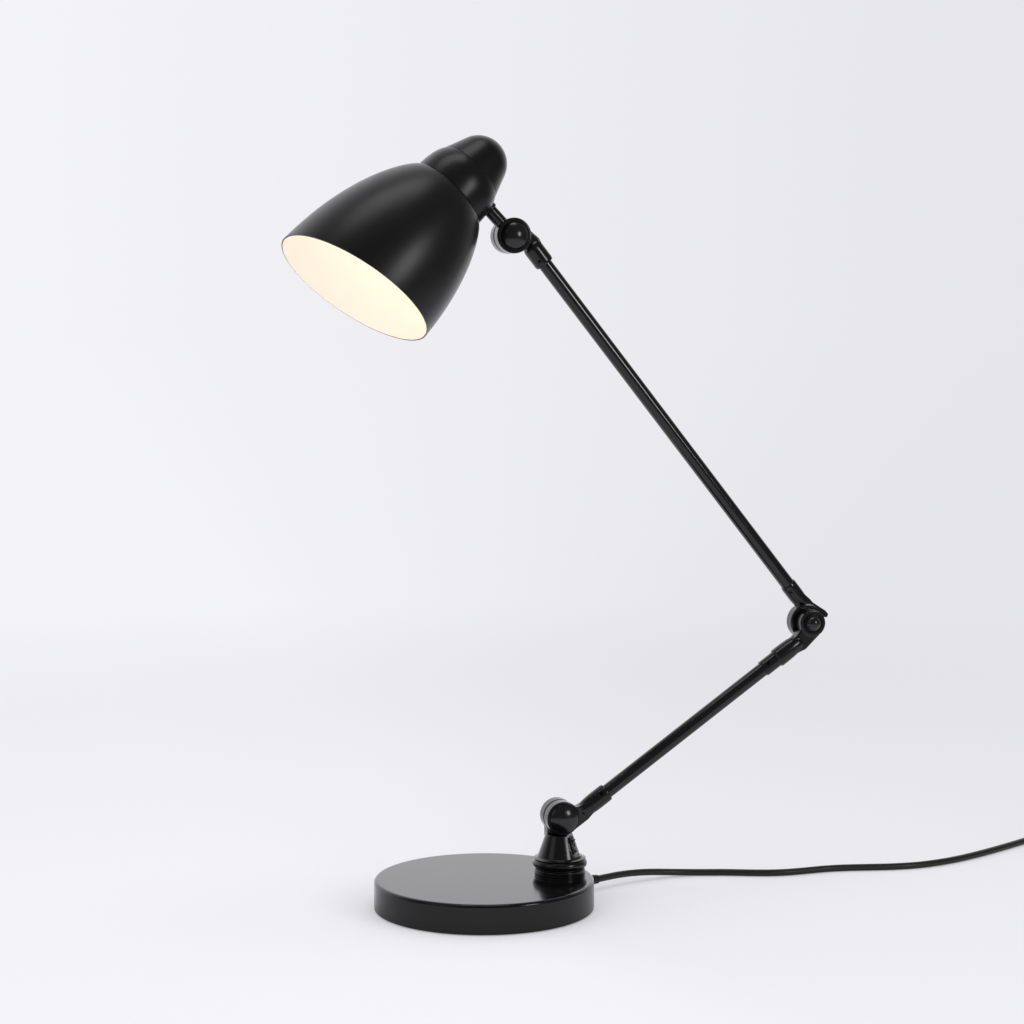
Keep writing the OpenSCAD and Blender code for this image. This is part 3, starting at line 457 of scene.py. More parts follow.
class Bench:
    """The modelling steps that the pieces share, each done with Blender's own operators."""

    MERGE = 0.0005              # corners closer than this, in millimetres, become one

    @staticmethod
    def clear() -> None:
        """Leave edit mode, with nothing selected."""
        if bpy.context.object is not None and bpy.context.object.mode != "OBJECT":
            bpy.ops.object.mode_set(mode="OBJECT")
        bpy.ops.object.select_all(action="DESELECT")

    @staticmethod
    def pick(*pieces: Piece) -> None:
        """Select these pieces alone.

        Args:
            pieces: the pieces, of which the first becomes the active one.
        """
        Bench.clear()
        for piece in pieces:
            piece.select_set(True)
        bpy.context.view_layer.objects.active = pieces[0]

    @staticmethod
    def edit(piece: Piece) -> None:
        """Open one piece in edit mode, with all of it selected.

        Args:
            piece: the piece to open.
        """
        Bench.pick(piece)
        bpy.ops.object.mode_set(mode="EDIT")
        bpy.ops.mesh.select_all(action="SELECT")

    @staticmethod
    def join(pieces: Sequence[Piece]) -> Piece:
        """Join pieces into the first one.

        Args:
            pieces: the pieces, each closed in itself.

        Returns:
            The joined piece.
        """
        Bench.pick(*pieces)
        bpy.ops.object.join()
        return pieces[0]

    @staticmethod
    def settle(piece: Piece, *frames: Matrix) -> Piece:
        """Move a piece by the frames' product and apply it to the mesh.

        Args:
            piece: the piece, at the origin.
            frames: the frames, outermost first.

        Returns:
            The same piece.
        """
        Bench.pick(piece)
        for matrix in reversed(frames):
            piece.matrix_world = matrix @ piece.matrix_world
        bpy.ops.object.transform_apply(location=True, rotation=True, scale=True)
        return piece

    @staticmethod
    def trace(points: Sequence[Point]) -> Piece:
        """Draw a line in the XZ plane by extruding one vertex from point to point.

        Args:
            points: each point as X and Z.

        Returns:
            The line, left in edit mode.
        """
        Bench.clear()
        bpy.ops.mesh.primitive_plane_add(size=1.0)
        piece = bpy.context.object
        bpy.ops.object.mode_set(mode="EDIT")
        bpy.ops.mesh.select_all(action="SELECT")
        bpy.ops.mesh.merge(type="CENTER")
        bpy.ops.transform.translate(value=(points[0][0], 0, points[0][1]))
        for here, there in zip(points, points[1:]):
            step = (there[0] - here[0], 0, there[1] - here[1])
            bpy.ops.mesh.extrude_vertices_move(TRANSFORM_OT_translate={"value": step})
        bpy.ops.mesh.select_all(action="SELECT")
        return piece

    @staticmethod
    def close() -> None:
        """Turn the faces of the mesh in edit mode outward, and leave that mode."""
        bpy.ops.mesh.select_all(action="SELECT")
        bpy.ops.mesh.normals_make_consistent(inside=False)
        bpy.ops.object.mode_set(mode="OBJECT")

    @staticmethod
    def turned(points: Sequence[Point], sides: int = 96, ring: bool = False) -> Piece:
        """Spin a profile round Z.

        Args:
            points: radius and height of each point of the profile.
            sides: how many steps the full turn has.
            ring: True where the profile closes on itself away from the axis.

        Returns:
            The turned piece.
        """
        piece = Bench.trace(list(points) + [points[0]] if ring else points)
        bpy.ops.mesh.remove_doubles(threshold=Bench.MERGE)
        bpy.ops.mesh.select_all(action="SELECT")
        bpy.ops.mesh.spin(steps=sides, angle=math.tau, center=(0, 0, 0), axis=(0, 0, 1))
        bpy.ops.mesh.select_all(action="SELECT")
        bpy.ops.mesh.remove_doubles(threshold=Bench.MERGE)
        Bench.close()
        return piece

    @staticmethod
    def rod(radius: float, low: float, high: float, sides: int = 32) -> Piece:
        """Turn a plain rod that runs along Z from low to high."""
        return Bench.turned([(0, low), (radius, low), (radius, high), (0, high)], sides)

    @staticmethod
    def plate(outline: Sequence[Point], low: float, high: float) -> Piece:
        """Fill an outline in the XZ plane and extrude it along Y.

        Args:
            outline: each corner as X and Z.
            low: the plate's lower Y.
            high: its upper Y.

        Returns:
            The plate.
        """
        piece = Bench.trace(list(outline) + [outline[0]])
        bpy.ops.mesh.remove_doubles(threshold=Bench.MERGE)
        bpy.ops.mesh.select_all(action="SELECT")
        bpy.ops.mesh.edge_face_add()
        bpy.ops.transform.translate(value=(0, low, 0))
        bpy.ops.mesh.extrude_region_move(TRANSFORM_OT_translate={"value": (0, high - low, 0)})
        Bench.close()
        return piece

    @staticmethod
    def block(low: Sequence[float], high: Sequence[float]) -> Piece:
        """Stretch a cube between two corners.

        Args:
            low: the corner with the lower values.
            high: the corner with the higher ones.

        Returns:
            The block, ready to be shaped.
        """
        Bench.clear()
        middle = [(a + b) / 2 for a, b in zip(low, high)]
        size = [b - a for a, b in zip(low, high)]
        bpy.ops.mesh.primitive_cube_add(size=1.0, location=middle, scale=size)
        return Bench.settle(bpy.context.object)

    @staticmethod
    def modify(piece: Piece, kind: str, **settings: object) -> Piece:
        """Add a modifier, set it and apply it.

        Args:
            piece: the piece to change.
            kind: the modifier's type name.
            settings: its own options.

        Returns:
            The same piece.
        """
        Bench.pick(piece)
        added = piece.modifiers.new(kind, kind)
        for name, value in settings.items():
            setattr(added, name, value)
        bpy.ops.object.modifier_apply(modifier=added.name)
        return piece

    @staticmethod
    def round_edges(piece: Piece, width: float, segments: int = 3, over: float = 30) -> Piece:
        """Bevel every edge that is sharper than an angle, with a width in millimetres."""
        return Bench.modify(piece, "BEVEL", width=width, segments=segments, limit_method="ANGLE",
                            angle_limit=math.radians(over), use_clamp_overlap=True)

    @staticmethod
    def cut(piece: Piece, tool: Piece) -> Piece:
        """Cut a tool's shape out of a piece, and put the tool away."""
        return Bench.combine(piece, tool, "DIFFERENCE")

    @staticmethod
    def combine(piece: Piece, other: Piece, operation: str) -> Piece:
        """Cut or merge a piece with another one, which is then put away.

        Args:
            piece: the piece that stays.
            other: the one that is used up.
            operation: the Boolean modifier's operation.

        Returns:
            The changed piece.
        """
        Bench.modify(piece, "BOOLEAN", operation=operation, object=other, solver="EXACT")
        bpy.data.objects.remove(other)
        return piece

    @staticmethod
    def eye(radius: float, edge: float, *frames: Matrix) -> Piece:
        """Turn the round eye of an arm's end, with rounded edges.

        Args:
            radius: the eye's radius.
            edge: how far its edges are rounded.
            frames: the frames that place it, outermost first, with Y along the bolt.

        Returns:
            The eye.
        """
        half = BONES.eye_t / 2
        return Bench.settle(Bench.round_edges(Bench.rod(radius, -half, half, 96), edge), *frames, BACKWARD)

    @staticmethod
    def fuse(parts: Sequence[Piece], grain: float, rounds: int) -> Piece:
        """Melt overlapping parts into one casting with soft inner corners.

        Args:
            parts: closed parts that overlap.
            grain: the size of the faces in millimetres.
            rounds: how often the skin is smoothed.

        Returns:
            The casting.
        """
        piece = Bench.join(parts)
        piece.data.remesh_voxel_size = grain
        piece.data.remesh_voxel_adaptivity = 0.0
        bpy.ops.object.voxel_remesh()
        return Bench.modify(piece, "SMOOTH", factor=0.5, iterations=rounds)

    @staticmethod
    def deliver(piece: Piece, name: str, body: str, slot: Slot, stands_for: Sequence[str],
                *frames: Matrix, over: float = 32) -> Piece:
        """Put a finished piece in its place in metres, dress it and tie it to the frame.

        Args:
            piece: the piece, in millimetres round the origin.
            name: its name in the scene.
            body: the CAD body that it rides on.
            slot: the material slot that it takes its finish from.
            stands_for: the CAD nodes that it replaces.
            frames: the frames that place it, outermost first.
            over: edges sharper than this angle stay crisp.

        Returns:
            The delivered piece.
        """
        Bench.settle(piece, Matrix.Scale(MM, 4), *frames)
        piece.name = name
        piece.data.name = name
        if not piece.data.materials:
            piece.data.materials.append(slot.value.material())
        Bench.pick(piece)
        bpy.ops.object.shade_smooth_by_angle(angle=math.radians(over))
        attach(piece, body)
        if stands_for:
            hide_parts(*stands_for)
        log.info("%s: %d faces, rides on %s", name, len(piece.data.polygons), body)
        return piece

    @staticmethod
    def dress(slot: Slot, *nodes: str) -> None:
        """Give CAD nodes that stay the finish of their slot.

        Args:
            slot: the material slot that they take their finish from.
            nodes: the nodes' names.
        """
        for node in nodes:
            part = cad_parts[node]
            if not part.material_slots:
                part.data.materials.append(slot.value.material())
            for held in part.material_slots:
                held.material = slot.value.material()
            log.info("%s: kept, %s", node, slot.value.name)


# Cord and plug

@dataclass
class MainsCord:
    """The free cord: along the table, into a coil outside the view, and to its plug."""

    radius: float = 3.25
    lift: float = 0.08          # keeps the curve's small overshoot off the table
    coil_from: Point = (660.0, 133.0)
    heading: float = 32.0       # direction in which the cord meets and leaves its coil
    coil_radius: float = 46.0
    coil_turns: float = 2.5     # in each of the coil's two layers
    pitch: float = 7.2          # from one winding to the next
    layer: float = 7.1          # from the lower layer to the upper one
    turn_steps: int = 24
    tail_len: float = 72.0      # from the coil to the plug
    tail_hold: float = 24.0     # how far the tail runs level before it drops
    tail_steps: int = 5
    relief_r: float = 4.0       # the plug's relief, at the cord
    rib_from: float = 2.2
    rib_pitch: float = 3.4
    plug_from: float = 22.0     # where the plug's shell starts and ends along the cord
    plug_to: float = 57.0
    plug_t: float = 14.0
    pin_out: float = 9.3        # each pin's distance from the plug's middle
    length: float = 1815.0      # the whole cord, from relief to plug

    def exit(self) -> Vector:
        """Return the point where the cord leaves its strain relief, in millimetres."""
        out, a = BONES.base_r + BONES.relief_len, math.radians(BONES.exit_turn)
        return Vector((out * math.cos(a), out * math.sin(a), BONES.exit_z))

    def ahead(self) -> Vector:
        """Return the cord's direction where it meets and leaves its coil."""
        a = math.radians(self.heading)
        return Vector((math.cos(a), math.sin(a), 0))

    def along_table(self) -> list[Vector]:
        """Lead the loose stretch from the relief down to the table and on to the coil.

        Returns:
            Its points, in millimetres.
        """
        sinking = [(133, 42.6, 9.5), (147, 48.6, 9.3), (160, 53, 8.8), (179, 58, 7.4), (199, 61.5, 5.2),
                   (217, 61.6, 3.8)]
        lying = [(235, 58.2), (252, 53.6), (268, 48), (285, 41.8), (301, 37.8), (319, 36.8), (339, 38.4),
                 (358, 39.4), (376, 37.6), (394, 34.3), (411, 31), (429, 28.9), (449, 29.3), (470, 33.4),
                 (493, 40.8), (518, 51.8), (545, 65.5), (571, 80), (597, 95), (620, 108.5), (641, 121.3),
                 self.coil_from]
        down = self.radius + self.lift
        return [self.exit()] + [Vector(p) for p in sinking] + [Vector((x, y, down)) for x, y in lying]

    def coil_point(self, step: int) -> Vector:
        """Find one point of the coil, which winds in on the table, climbs and winds out on top.

        Args:
            step: how many parts of a turn have gone by.

        Returns:
            The point, in millimetres.
        """
        half = self.coil_turns * self.turn_steps
        a = math.radians(self.heading)
        centre = (Vector((*self.coil_from, 0)) + 2 * self.radius * self.ahead()
                  + self.coil_radius * Vector((math.sin(a), -math.cos(a), 0)))
        wound = min(step, 2 * half - step)
        r = self.coil_radius - self.pitch * wound / self.turn_steps
        angle = a + math.radians(90 - 360 * step / self.turn_steps)
        past = (step - half) / self.turn_steps
        climb = 0.5 - 0.5 * math.cos(math.tau * min(0.5, max(0.0, past + 0.25)))
        return centre + Vector((r * math.cos(angle), r * math.sin(angle),
                                self.radius + self.lift + self.layer * climb))

    def tail_point(self, along: float) -> Vector:
        """Find a point of the tail, which drops from the coil's top to the plug's middle height.

        Args:
            along: its distance from the end of the coil.

        Returns:
            The point, in millimetres.
        """
        last = self.coil_point(int(2 * self.coil_turns * self.turn_steps))
        sloping = self.tail_len - self.tail_hold - 2 * self.radius
        s = min(1.0, max(0.0, (along - self.tail_hold) / sloping))
        drop = self.radius + self.lift + self.layer - self.plug_t / 2
        return last + along * self.ahead() - Vector((0, 0, drop * (3 * s * s - 2 * s ** 3)))

    def path(self) -> list[Vector]:
        """Join the loose stretch, the coil and the tail.

        Returns:
            The whole centreline's points, in millimetres.
        """
        wound = [self.coil_point(i) for i in range(int(2 * self.coil_turns * self.turn_steps) + 1)]
        start, end = 2 * self.radius, self.tail_len - 2 * self.radius
        steps = self.tail_steps
        tail = [self.tail_point(start + (end - start) * i / steps) for i in range(steps + 1)]
        return self.along_table() + wound + tail + [self.tail_point(self.tail_len)]

    def sheath(self) -> Piece:
        """Lay the sheath along the centreline as one open spline.

        Returns:
            The sheath.
        """
        Bench.clear()
        line = bpy.data.curves.new("mains_cord", "CURVE")
        line.dimensions = "3D"
        line.bevel_depth = self.radius * MM
        line.bevel_resolution = 4
        line.resolution_u = 4
        line.use_fill_caps = True
        points = self.path()
        spline = line.splines.new("BEZIER")
        spline.bezier_points.add(len(points) - 1)
        for knot, point in zip(spline.bezier_points, points):
            knot.co = point * MM
            knot.handle_left_type = knot.handle_right_type = "AUTO"
        piece = bpy.data.objects.new("mains_cord", line)
        bpy.context.scene.collection.objects.link(piece)
        line.materials.append(Slot.cord_pvc.value.material())
        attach(piece, "base")
        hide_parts("cord", "cord_coil")
        log.info("mains_cord: %d points", len(points))
        return piece

    def at_plug(self) -> Matrix:
        """Return the plug's frame, with Z along the cord."""
        return shift(*self.path()[-1]) @ turn("Z", self.heading) @ ALONG_X

    def plug(self) -> list[Piece]:
        """Model the flat two-pin plug with its ribbed relief.

        Returns:
            The relief, the body, the pins and their sleeves.
        """
        place = self.at_plug()
        ribs = [(0, 0), (self.relief_r, 0)]
        for i in range(5):
            low = self.rib_from + self.rib_pitch * i
            r = self.relief_r + 1.2 * low / 20
            ribs += [(r, low), (r - 1.1, low + 0.5), (r - 1.1, low + 1.3), (r + 0.1, low + 1.8)]
        ribs += [(5.3, 19.4), (6, self.plug_from), (0, self.plug_from)]
        relief = Bench.deliver(Bench.turned(ribs, 48), "plug_strain_relief", "base", Slot.plug_plastic,
                               ["plug_relief"], place)

        side = [(-8, self.plug_from), (-12.5, 30.5), (-16, 40), (-17.5, 46), (-17.5, self.plug_to)]
        half = self.plug_t / 2
        body = Bench.plate(side + [(-x, z) for x, z in reversed(side)], -half, half)
        Bench.round_edges(body, 1.6, 4, over=25)
        for face in (-half, half):
            for i in range(4):
                dip = Bench.block((-9, face - 0.6, 36 + 3.6 * i), (9, face + 0.6, 37.6 + 3.6 * i))
                Bench.cut(body, Bench.round_edges(dip, 0.3, 2))
        # The plate's X is the plug's width, which lies flat on the table
        body = Bench.deliver(body, "plug_shell", "base", Slot.plug_plastic, ["plug_body"], place,
                             turn("Z", 90))

        pin = [(0, 56.9), (2, 56.9), (2, 74.2), (1.7, 75.1), (1.0, 75.8), (0, 75.9)]
        sleeve = [(1.9, 57), (1.97, 57), (1.97, 66.6), (1.9, 67)]
        pins, sleeves = [], []
        for out in (-self.pin_out, self.pin_out):
            pins.append(Bench.settle(Bench.turned(pin, 32), shift(0, out, 0)))
            sleeves.append(Bench.settle(Bench.turned(sleeve, 32, ring=True), shift(0, out, 0)))
        prongs = Bench.deliver(Bench.join(pins), "plug_prongs", "base", Slot.zinc_steel, ["plug_pins"], place)
        covers = Bench.deliver(Bench.join(sleeves), "plug_pin_sleeves", "base", Slot.plug_plastic, [], place)
        return [relief, body, prongs, covers]

    def build(self) -> None:
        cord = self.sheath()
        pieces = self.plug()


# Base

@dataclass
class Base:
    """The felted, weighted base with its pressed cover, foot ring and strain relief."""

    height: float = 27.5
    edge: float = 3.0           # radius of the cover's rolled edge
    wall: float = 1.5
    lift: float = 0.8           # from the table to the cover's lip
    hole_r: float = 5.0         # the hole for the strain relief
    felt_r: float = 95.0
    felt_t: float = 2.0
    foot_r: float = 23.2        # the ring under the post
    foot_t: float = 4.7
    foot_bore: float = 5.06
    flange_r: float = 6.5       # the strain relief's flange outside the cover
    ribs: int = 5
    rib_pitch: float = 4.4

    def cover(self) -> None:
        """Turn the pressed cover: flat top, rolled edge and a folded lower lip."""
        r, h, e, w, low = BONES.base_r, self.height, self.edge, self.wall, self.lift
        profile = [(0, h), (r - e - 6, h), (r - e - 2, h)] + arc((r - e, h - e), e, 90, 0, 12)
        profile += [(r, h / 2), (r, low + 1.0), (r - 0.25, low + 0.35), (r - 0.75, low + 0.05)]
        profile += [(r - w, low + 0.4), (r - w, h - e)]
        profile += arc((r - e, h - e), e - w, 0, 90, 8) + [(0, h - w)]
        shell = Bench.turned(profile, 192)
        hole = Bench.rod(self.hole_r, r - 8, r + 5, 48)
        Bench.cut(shell, Bench.settle(hole, *BONES.cord_exit()))
        Bench.deliver(shell, "base_cover_shell", "base", Slot.cover_lacquer, ["base_cover"], over=20)

    def felt(self) -> None:
        """Cut the felt disc, its edge a little crushed."""
        r, t = self.felt_r, self.felt_t
        profile = [(0, 0), (r - 1.2, 0), (r - 0.4, 0.3), (r, 0.9), (r - 0.3, 1.6), (r - 1.0, t), (0, t)]
        Bench.deliver(Bench.turned(profile, 120), "felt_disc", "base", Slot.felt, ["base_pad"])

    def foot(self) -> None:
        """Turn the fixed ring that the post swivels on, with a groove under its rim."""
        r, bore, low, high = self.foot_r, self.foot_bore, self.height, self.height + self.foot_t
        profile = [(bore, low), (r - 0.3, low), (r, low + 0.3), (r, low + 2.1), (r - 0.45, low + 2.5),
                   (r, low + 2.9)]
        profile += arc((r - 1, high - 1), 1, 0, 90, 6) + [(bore, high)]
        ring = Bench.turned(profile, 128, ring=True)
        Bench.deliver(ring, "foot_ring_turned", "base", Slot.casting_lacquer, ["foot_ring"],
                      shift(BONES.post_x, 0, 0), over=28)

    def relief(self) -> None:
        """Mould the tapered strain relief, with ribs round its neck."""
        start, length, wide = BONES.base_r, BONES.relief_len, self.flange_r
        profile = [(0, start - 8), (wide, start - 8), (wide, start - 1.8), (4.7, start - 1.8),
                   (4.7, start + 0.3), (wide - 0.3, start + 0.3), (wide, start + 0.6), (wide, start + 1.8),
                   (wide - 0.3, start + 2.1)]
        for i in range(self.ribs):
            low = start + 3 + self.rib_pitch * i
            r = 5.9 - 1.8 * (low - start - 3) / (length - 3)
            profile += [(r, low), (r - 0.15, low + 2.2), (r - 1.1, low + 2.6), (r - 1.1, low + 3.7)]
        end = start + length
        profile += [(4.15, end - 1.2), (4.1, end - 0.3), (3.9, end), (0, end)]
        Bench.deliver(Bench.turned(profile, 48), "cord_strain_relief", "base", Slot.cord_pvc, ["cord_relief"],
                      *BONES.cord_exit())

    def build(self) -> None:
        """Build the base from the table up."""
        self.felt()
        self.cover()
        self.foot()
        self.relief()
        Bench.dress(Slot.ballast_iron, "base_weight")
        Bench.dress(Slot.zinc_steel, "cover_nuts")
        Bench.dress(Slot.wire_sleeve, "base_lead")
        Bench.dress(Slot.nylon, "swivel_washer")


# Post and switch

@dataclass
class Post:
    """The swivelling post: rolled collar, cone, and the rear eye of the lowest joint."""

    low: float = 33.0           # the collar's underside
    collar_r: float = 25.0
    collar_t: float = 8.5
    bore: float = 5.02          # round the stud
    cone_foot_r: float = 20.3
    cone_top_r: float = 13.2
    cone_top: float = 64.0
    milled: tuple[Spot, Spot] = ((0, -20, -10.7), (20, 20, 40))         # cut away at the flat
    pocket: tuple[Spot, Spot] = ((-8.2, -4.5, -7.6), (12, 4.5, 7.6))    # and for the switch

    def collar(self) -> None:
        """Turn the rolled collar with its small upper lip."""
        low, high, bulge = self.low, self.low + self.collar_t, self.collar_t / 2
        r, cone_r = self.collar_r, self.cone_foot_r
        profile = [(self.bore, low), (r - bulge, low)] + arc((r - bulge, low + bulge), bulge, -80, 70, 20)
        profile += [(r - 2.0, high - 0.45), (r - 1.5, high - 0.2), (r - 1.2, high + 0.15),
                    (r - 1.3, high + 0.6), (r - 1.8, high + 0.8), (cone_r + 1.4, high + 1.0),
                    (cone_r + 0.5, high + 1.4), (cone_r, high + 2.0), (self.bore, high + 2.0)]
        ring = Bench.turned(profile, 144, ring=True)
        Bench.deliver(ring, "post_collar", "post", Slot.casting_lacquer, ["post"], shift(BONES.post_x, 0, 0),
                      over=50)

    def cone(self) -> None:
        """Cast the cone, neck and eye in one, then mill the flat and the switch's pocket."""
        foot = self.low + self.collar_t + 2
        profile = [(0, foot - 1.0), (self.cone_foot_r + 0.2, foot - 1.0), (self.cone_foot_r, foot),
                   (self.cone_top_r, self.cone_top - 0.4), (self.cone_top_r - 0.5, self.cone_top),
                   (0, self.cone_top)]
        cone = Bench.settle(Bench.turned(profile, 128), shift(BONES.post_x, 0, 0))
        behind = [BONES.at_pivot(BONES.base_pivot()), shift(0, BONES.eye_y, 0)]
        eye = Bench.eye(BONES.base_eye_r, 1.0, *behind)
        half = BONES.eye_t / 2
        neck = Bench.plate([(-11.4, -20), (11.4, -20), (11.6, -9.5), (-11.6, -9.5)], -half, half)
        Bench.settle(Bench.round_edges(neck, 1.0), *behind)
        casting = Bench.fuse([cone, eye, neck], grain=0.5, rounds=6)
        for corners in (self.milled, self.pocket):
            Bench.cut(casting, Bench.settle(Bench.block(*corners), BONES.flat()))
        Bench.deliver(casting, "post_casting", "post", Slot.casting_lacquer, ["post"], over=42)

    def build(self) -> None:
        """Build the post and dress its hidden steel."""
        self.collar()
        self.cone()
        Bench.dress(Slot.zinc_steel, "post_stud", "stud_nut", "stud_washer")


@dataclass
class Switch:
    """The rocker switch on the post's flat."""

    width: float = 10.6
    height: float = 16.0
    deep: float = 8.0           # the box behind the bezel
    rocker_w: float = 6.4
    back: float = 1.5           # from the flat to the rocker's pin
    swing: float = 16.0         # from off to on, in degrees

    def bezel(self) -> None:
        """Mould the bezel with its rounded frame and the box behind it."""
        w, h, free = self.width / 2, self.height / 2, self.rocker_w / 2 + 0.3
        piece = Bench.round_edges(Bench.block((0, -w, -h), (1.2, w, h)), 0.45)
        Bench.combine(piece, Bench.block((-self.deep, -4.3, -7.4), (0.5, 4.3, 7.4)), "UNION")
        Bench.cut(piece, Bench.block((1 - self.deep, -free, -7), (5, free, 7)))
        Bench.deliver(piece, "switch_frame", "post", Slot.switch_plastic, ["switch_bezel"], BONES.flat(),
                      over=25)

    def rocker(self) -> None:
        """Mould the rocker: two sloped faces that meet in a shallow valley, and its pin."""
        lower = [(-3.2, -2.5), (-1, -6.4), (1.6, -6.5), (4.4, -5.0), (3.2, -2.6)]
        side = lower + [(1.9, 0)] + [(x, -z) for x, z in reversed(lower)]
        half = self.rocker_w / 2
        piece = Bench.round_edges(Bench.plate(side, -half, half), 0.35, over=20)
        pin = Bench.turned([(0, -4.2), (0.9, -4.2), (1, -4.1), (1, 4.1), (0.9, 4.2), (0, 4.2)], 24)
        Bench.join([piece, Bench.settle(pin, BACKWARD)])
        Bench.deliver(piece, "switch_rocker_cap", "switch_rocker", Slot.switch_plastic, ["switch_rocker"],
                      BONES.flat(), shift(-self.back, 0, 0), turn("Y", self.swing / 2), over=25)

    def build(self) -> None:
        """Build the bezel and the rocker."""
        self.bezel()
        self.rocker()


# Joints

@dataclass
class PivotJoint:
    """The stack on one pivot bolt: domed cap and ring in front, knob behind."""

    name: str
    pivot: Point
    cap_body: str
    knob_body: str
    cap_r: float
    cap_h: float
    ring_r: float
    bolt_bore: float = 3.02     # of cap and ring
    knob_bore: float = 3.06
    hub_r: float = 7.0          # the knob's hub
    hub_t: float = 3.0
    knob_r: float = 11.0
    knob_t: float = 7.0
    flutes: int = 8
    flute_r: float = 2.6

    def cap(self) -> None:
        """Turn the domed cap that covers the bolt's head, with a fine bead at its foot."""
        start, bore = BONES.ring_y + BONES.ring_t, self.bolt_bore
        r, h, rim = self.cap_r, self.cap_h, 1.0
        ball = (r * r + (h - rim) ** 2) / (2 * (h - rim))
        sweep = math.degrees(math.asin(min(1.0, r / ball)))
        dome = arc((0, start + h - ball), ball, 90 - sweep, 90, 16)
        profile = [(bore, start), (r, start), (r, start + 0.35), (r - 0.25, start + 0.6),
                   (r - 0.05, start + rim)]
        profile += dome[1:-1] + [(0, start + h), (0, start + 1.5), (bore, start + 1.5)]
        piece = Bench.turned(profile, ring=True)
        piece.data.materials.append(DOME_ENAMEL.material())
        Bench.deliver(piece, f"{self.name}_dome_cap", self.cap_body, Slot.casting_lacquer,
                      [f"{self.name}_cap"], BONES.at_pivot(self.pivot), FORWARD, over=40)

    def ring(self) -> None:
        """Turn the ring under the cap, with its outer edge rolled."""
        low, t, r, bore = BONES.ring_y, BONES.ring_t, self.ring_r, self.bolt_bore
        profile = [(bore, low), (r - 0.1, low), (r, low + 0.15), (r, low + t - 0.5),
                   (r - 0.15, low + t - 0.15), (r - 0.5, low + t), (bore, low + t)]
        Bench.deliver(Bench.turned(profile, ring=True), f"{self.name}_cap_ring", self.cap_body,
                      Slot.black_steel, [f"{self.name}_ring"], BONES.at_pivot(self.pivot), FORWARD, over=40)

    def knob(self) -> None:
        """Mould the tension knob: a hub, a scalloped grip and a dished face."""
        y0 = BONES.ring_y
        y1, y2 = y0 + self.hub_t, y0 + self.hub_t + self.knob_t
        r, hub, bore = self.knob_r, self.hub_r, self.knob_bore
        profile = [(bore, y0), (hub - 0.2, y0), (hub, y0 + 0.2), (hub, y1 - 0.4), (hub + 0.4, y1),
                   (r - 0.9, y1), (r - 0.25, y1 + 0.3), (r, y1 + 0.9), (r, y2 - 1.6), (r - 0.4, y2 - 0.6),
                   (r - 1.4, y2), (r - 3.5, y2 - 0.2), (r - 5.0, y2 - 0.8), (0, y2 - 1.0), (0, y0 + 4.7),
                   (bore, y0 + 4.7)]
        piece = Bench.turned(profile, ring=True)
        for i in range(self.flutes):
            flute = Bench.rod(self.flute_r, y1 - 1, y2 + 1)
            Bench.cut(piece, Bench.settle(flute, turn("Z", 360 / self.flutes * i), shift(r + 1.6, 0, 0)))
        Bench.round_edges(piece, 0.35, 2, over=38)
        Bench.deliver(piece, f"{self.name}_grip_knob", self.knob_body, Slot.knob_plastic,
                      [f"{self.name}_knob"], BONES.at_pivot(self.pivot), BACKWARD, over=35)

    def build(self) -> None:
        """Build the stack and dress its bolt and washer."""
        self.cap()
        self.ring()
        self.knob()
        Bench.dress(Slot.zinc_steel, f"{self.name}_bolt")
        Bench.dress(Slot.black_steel, f"{self.name}_washer")


# Arms

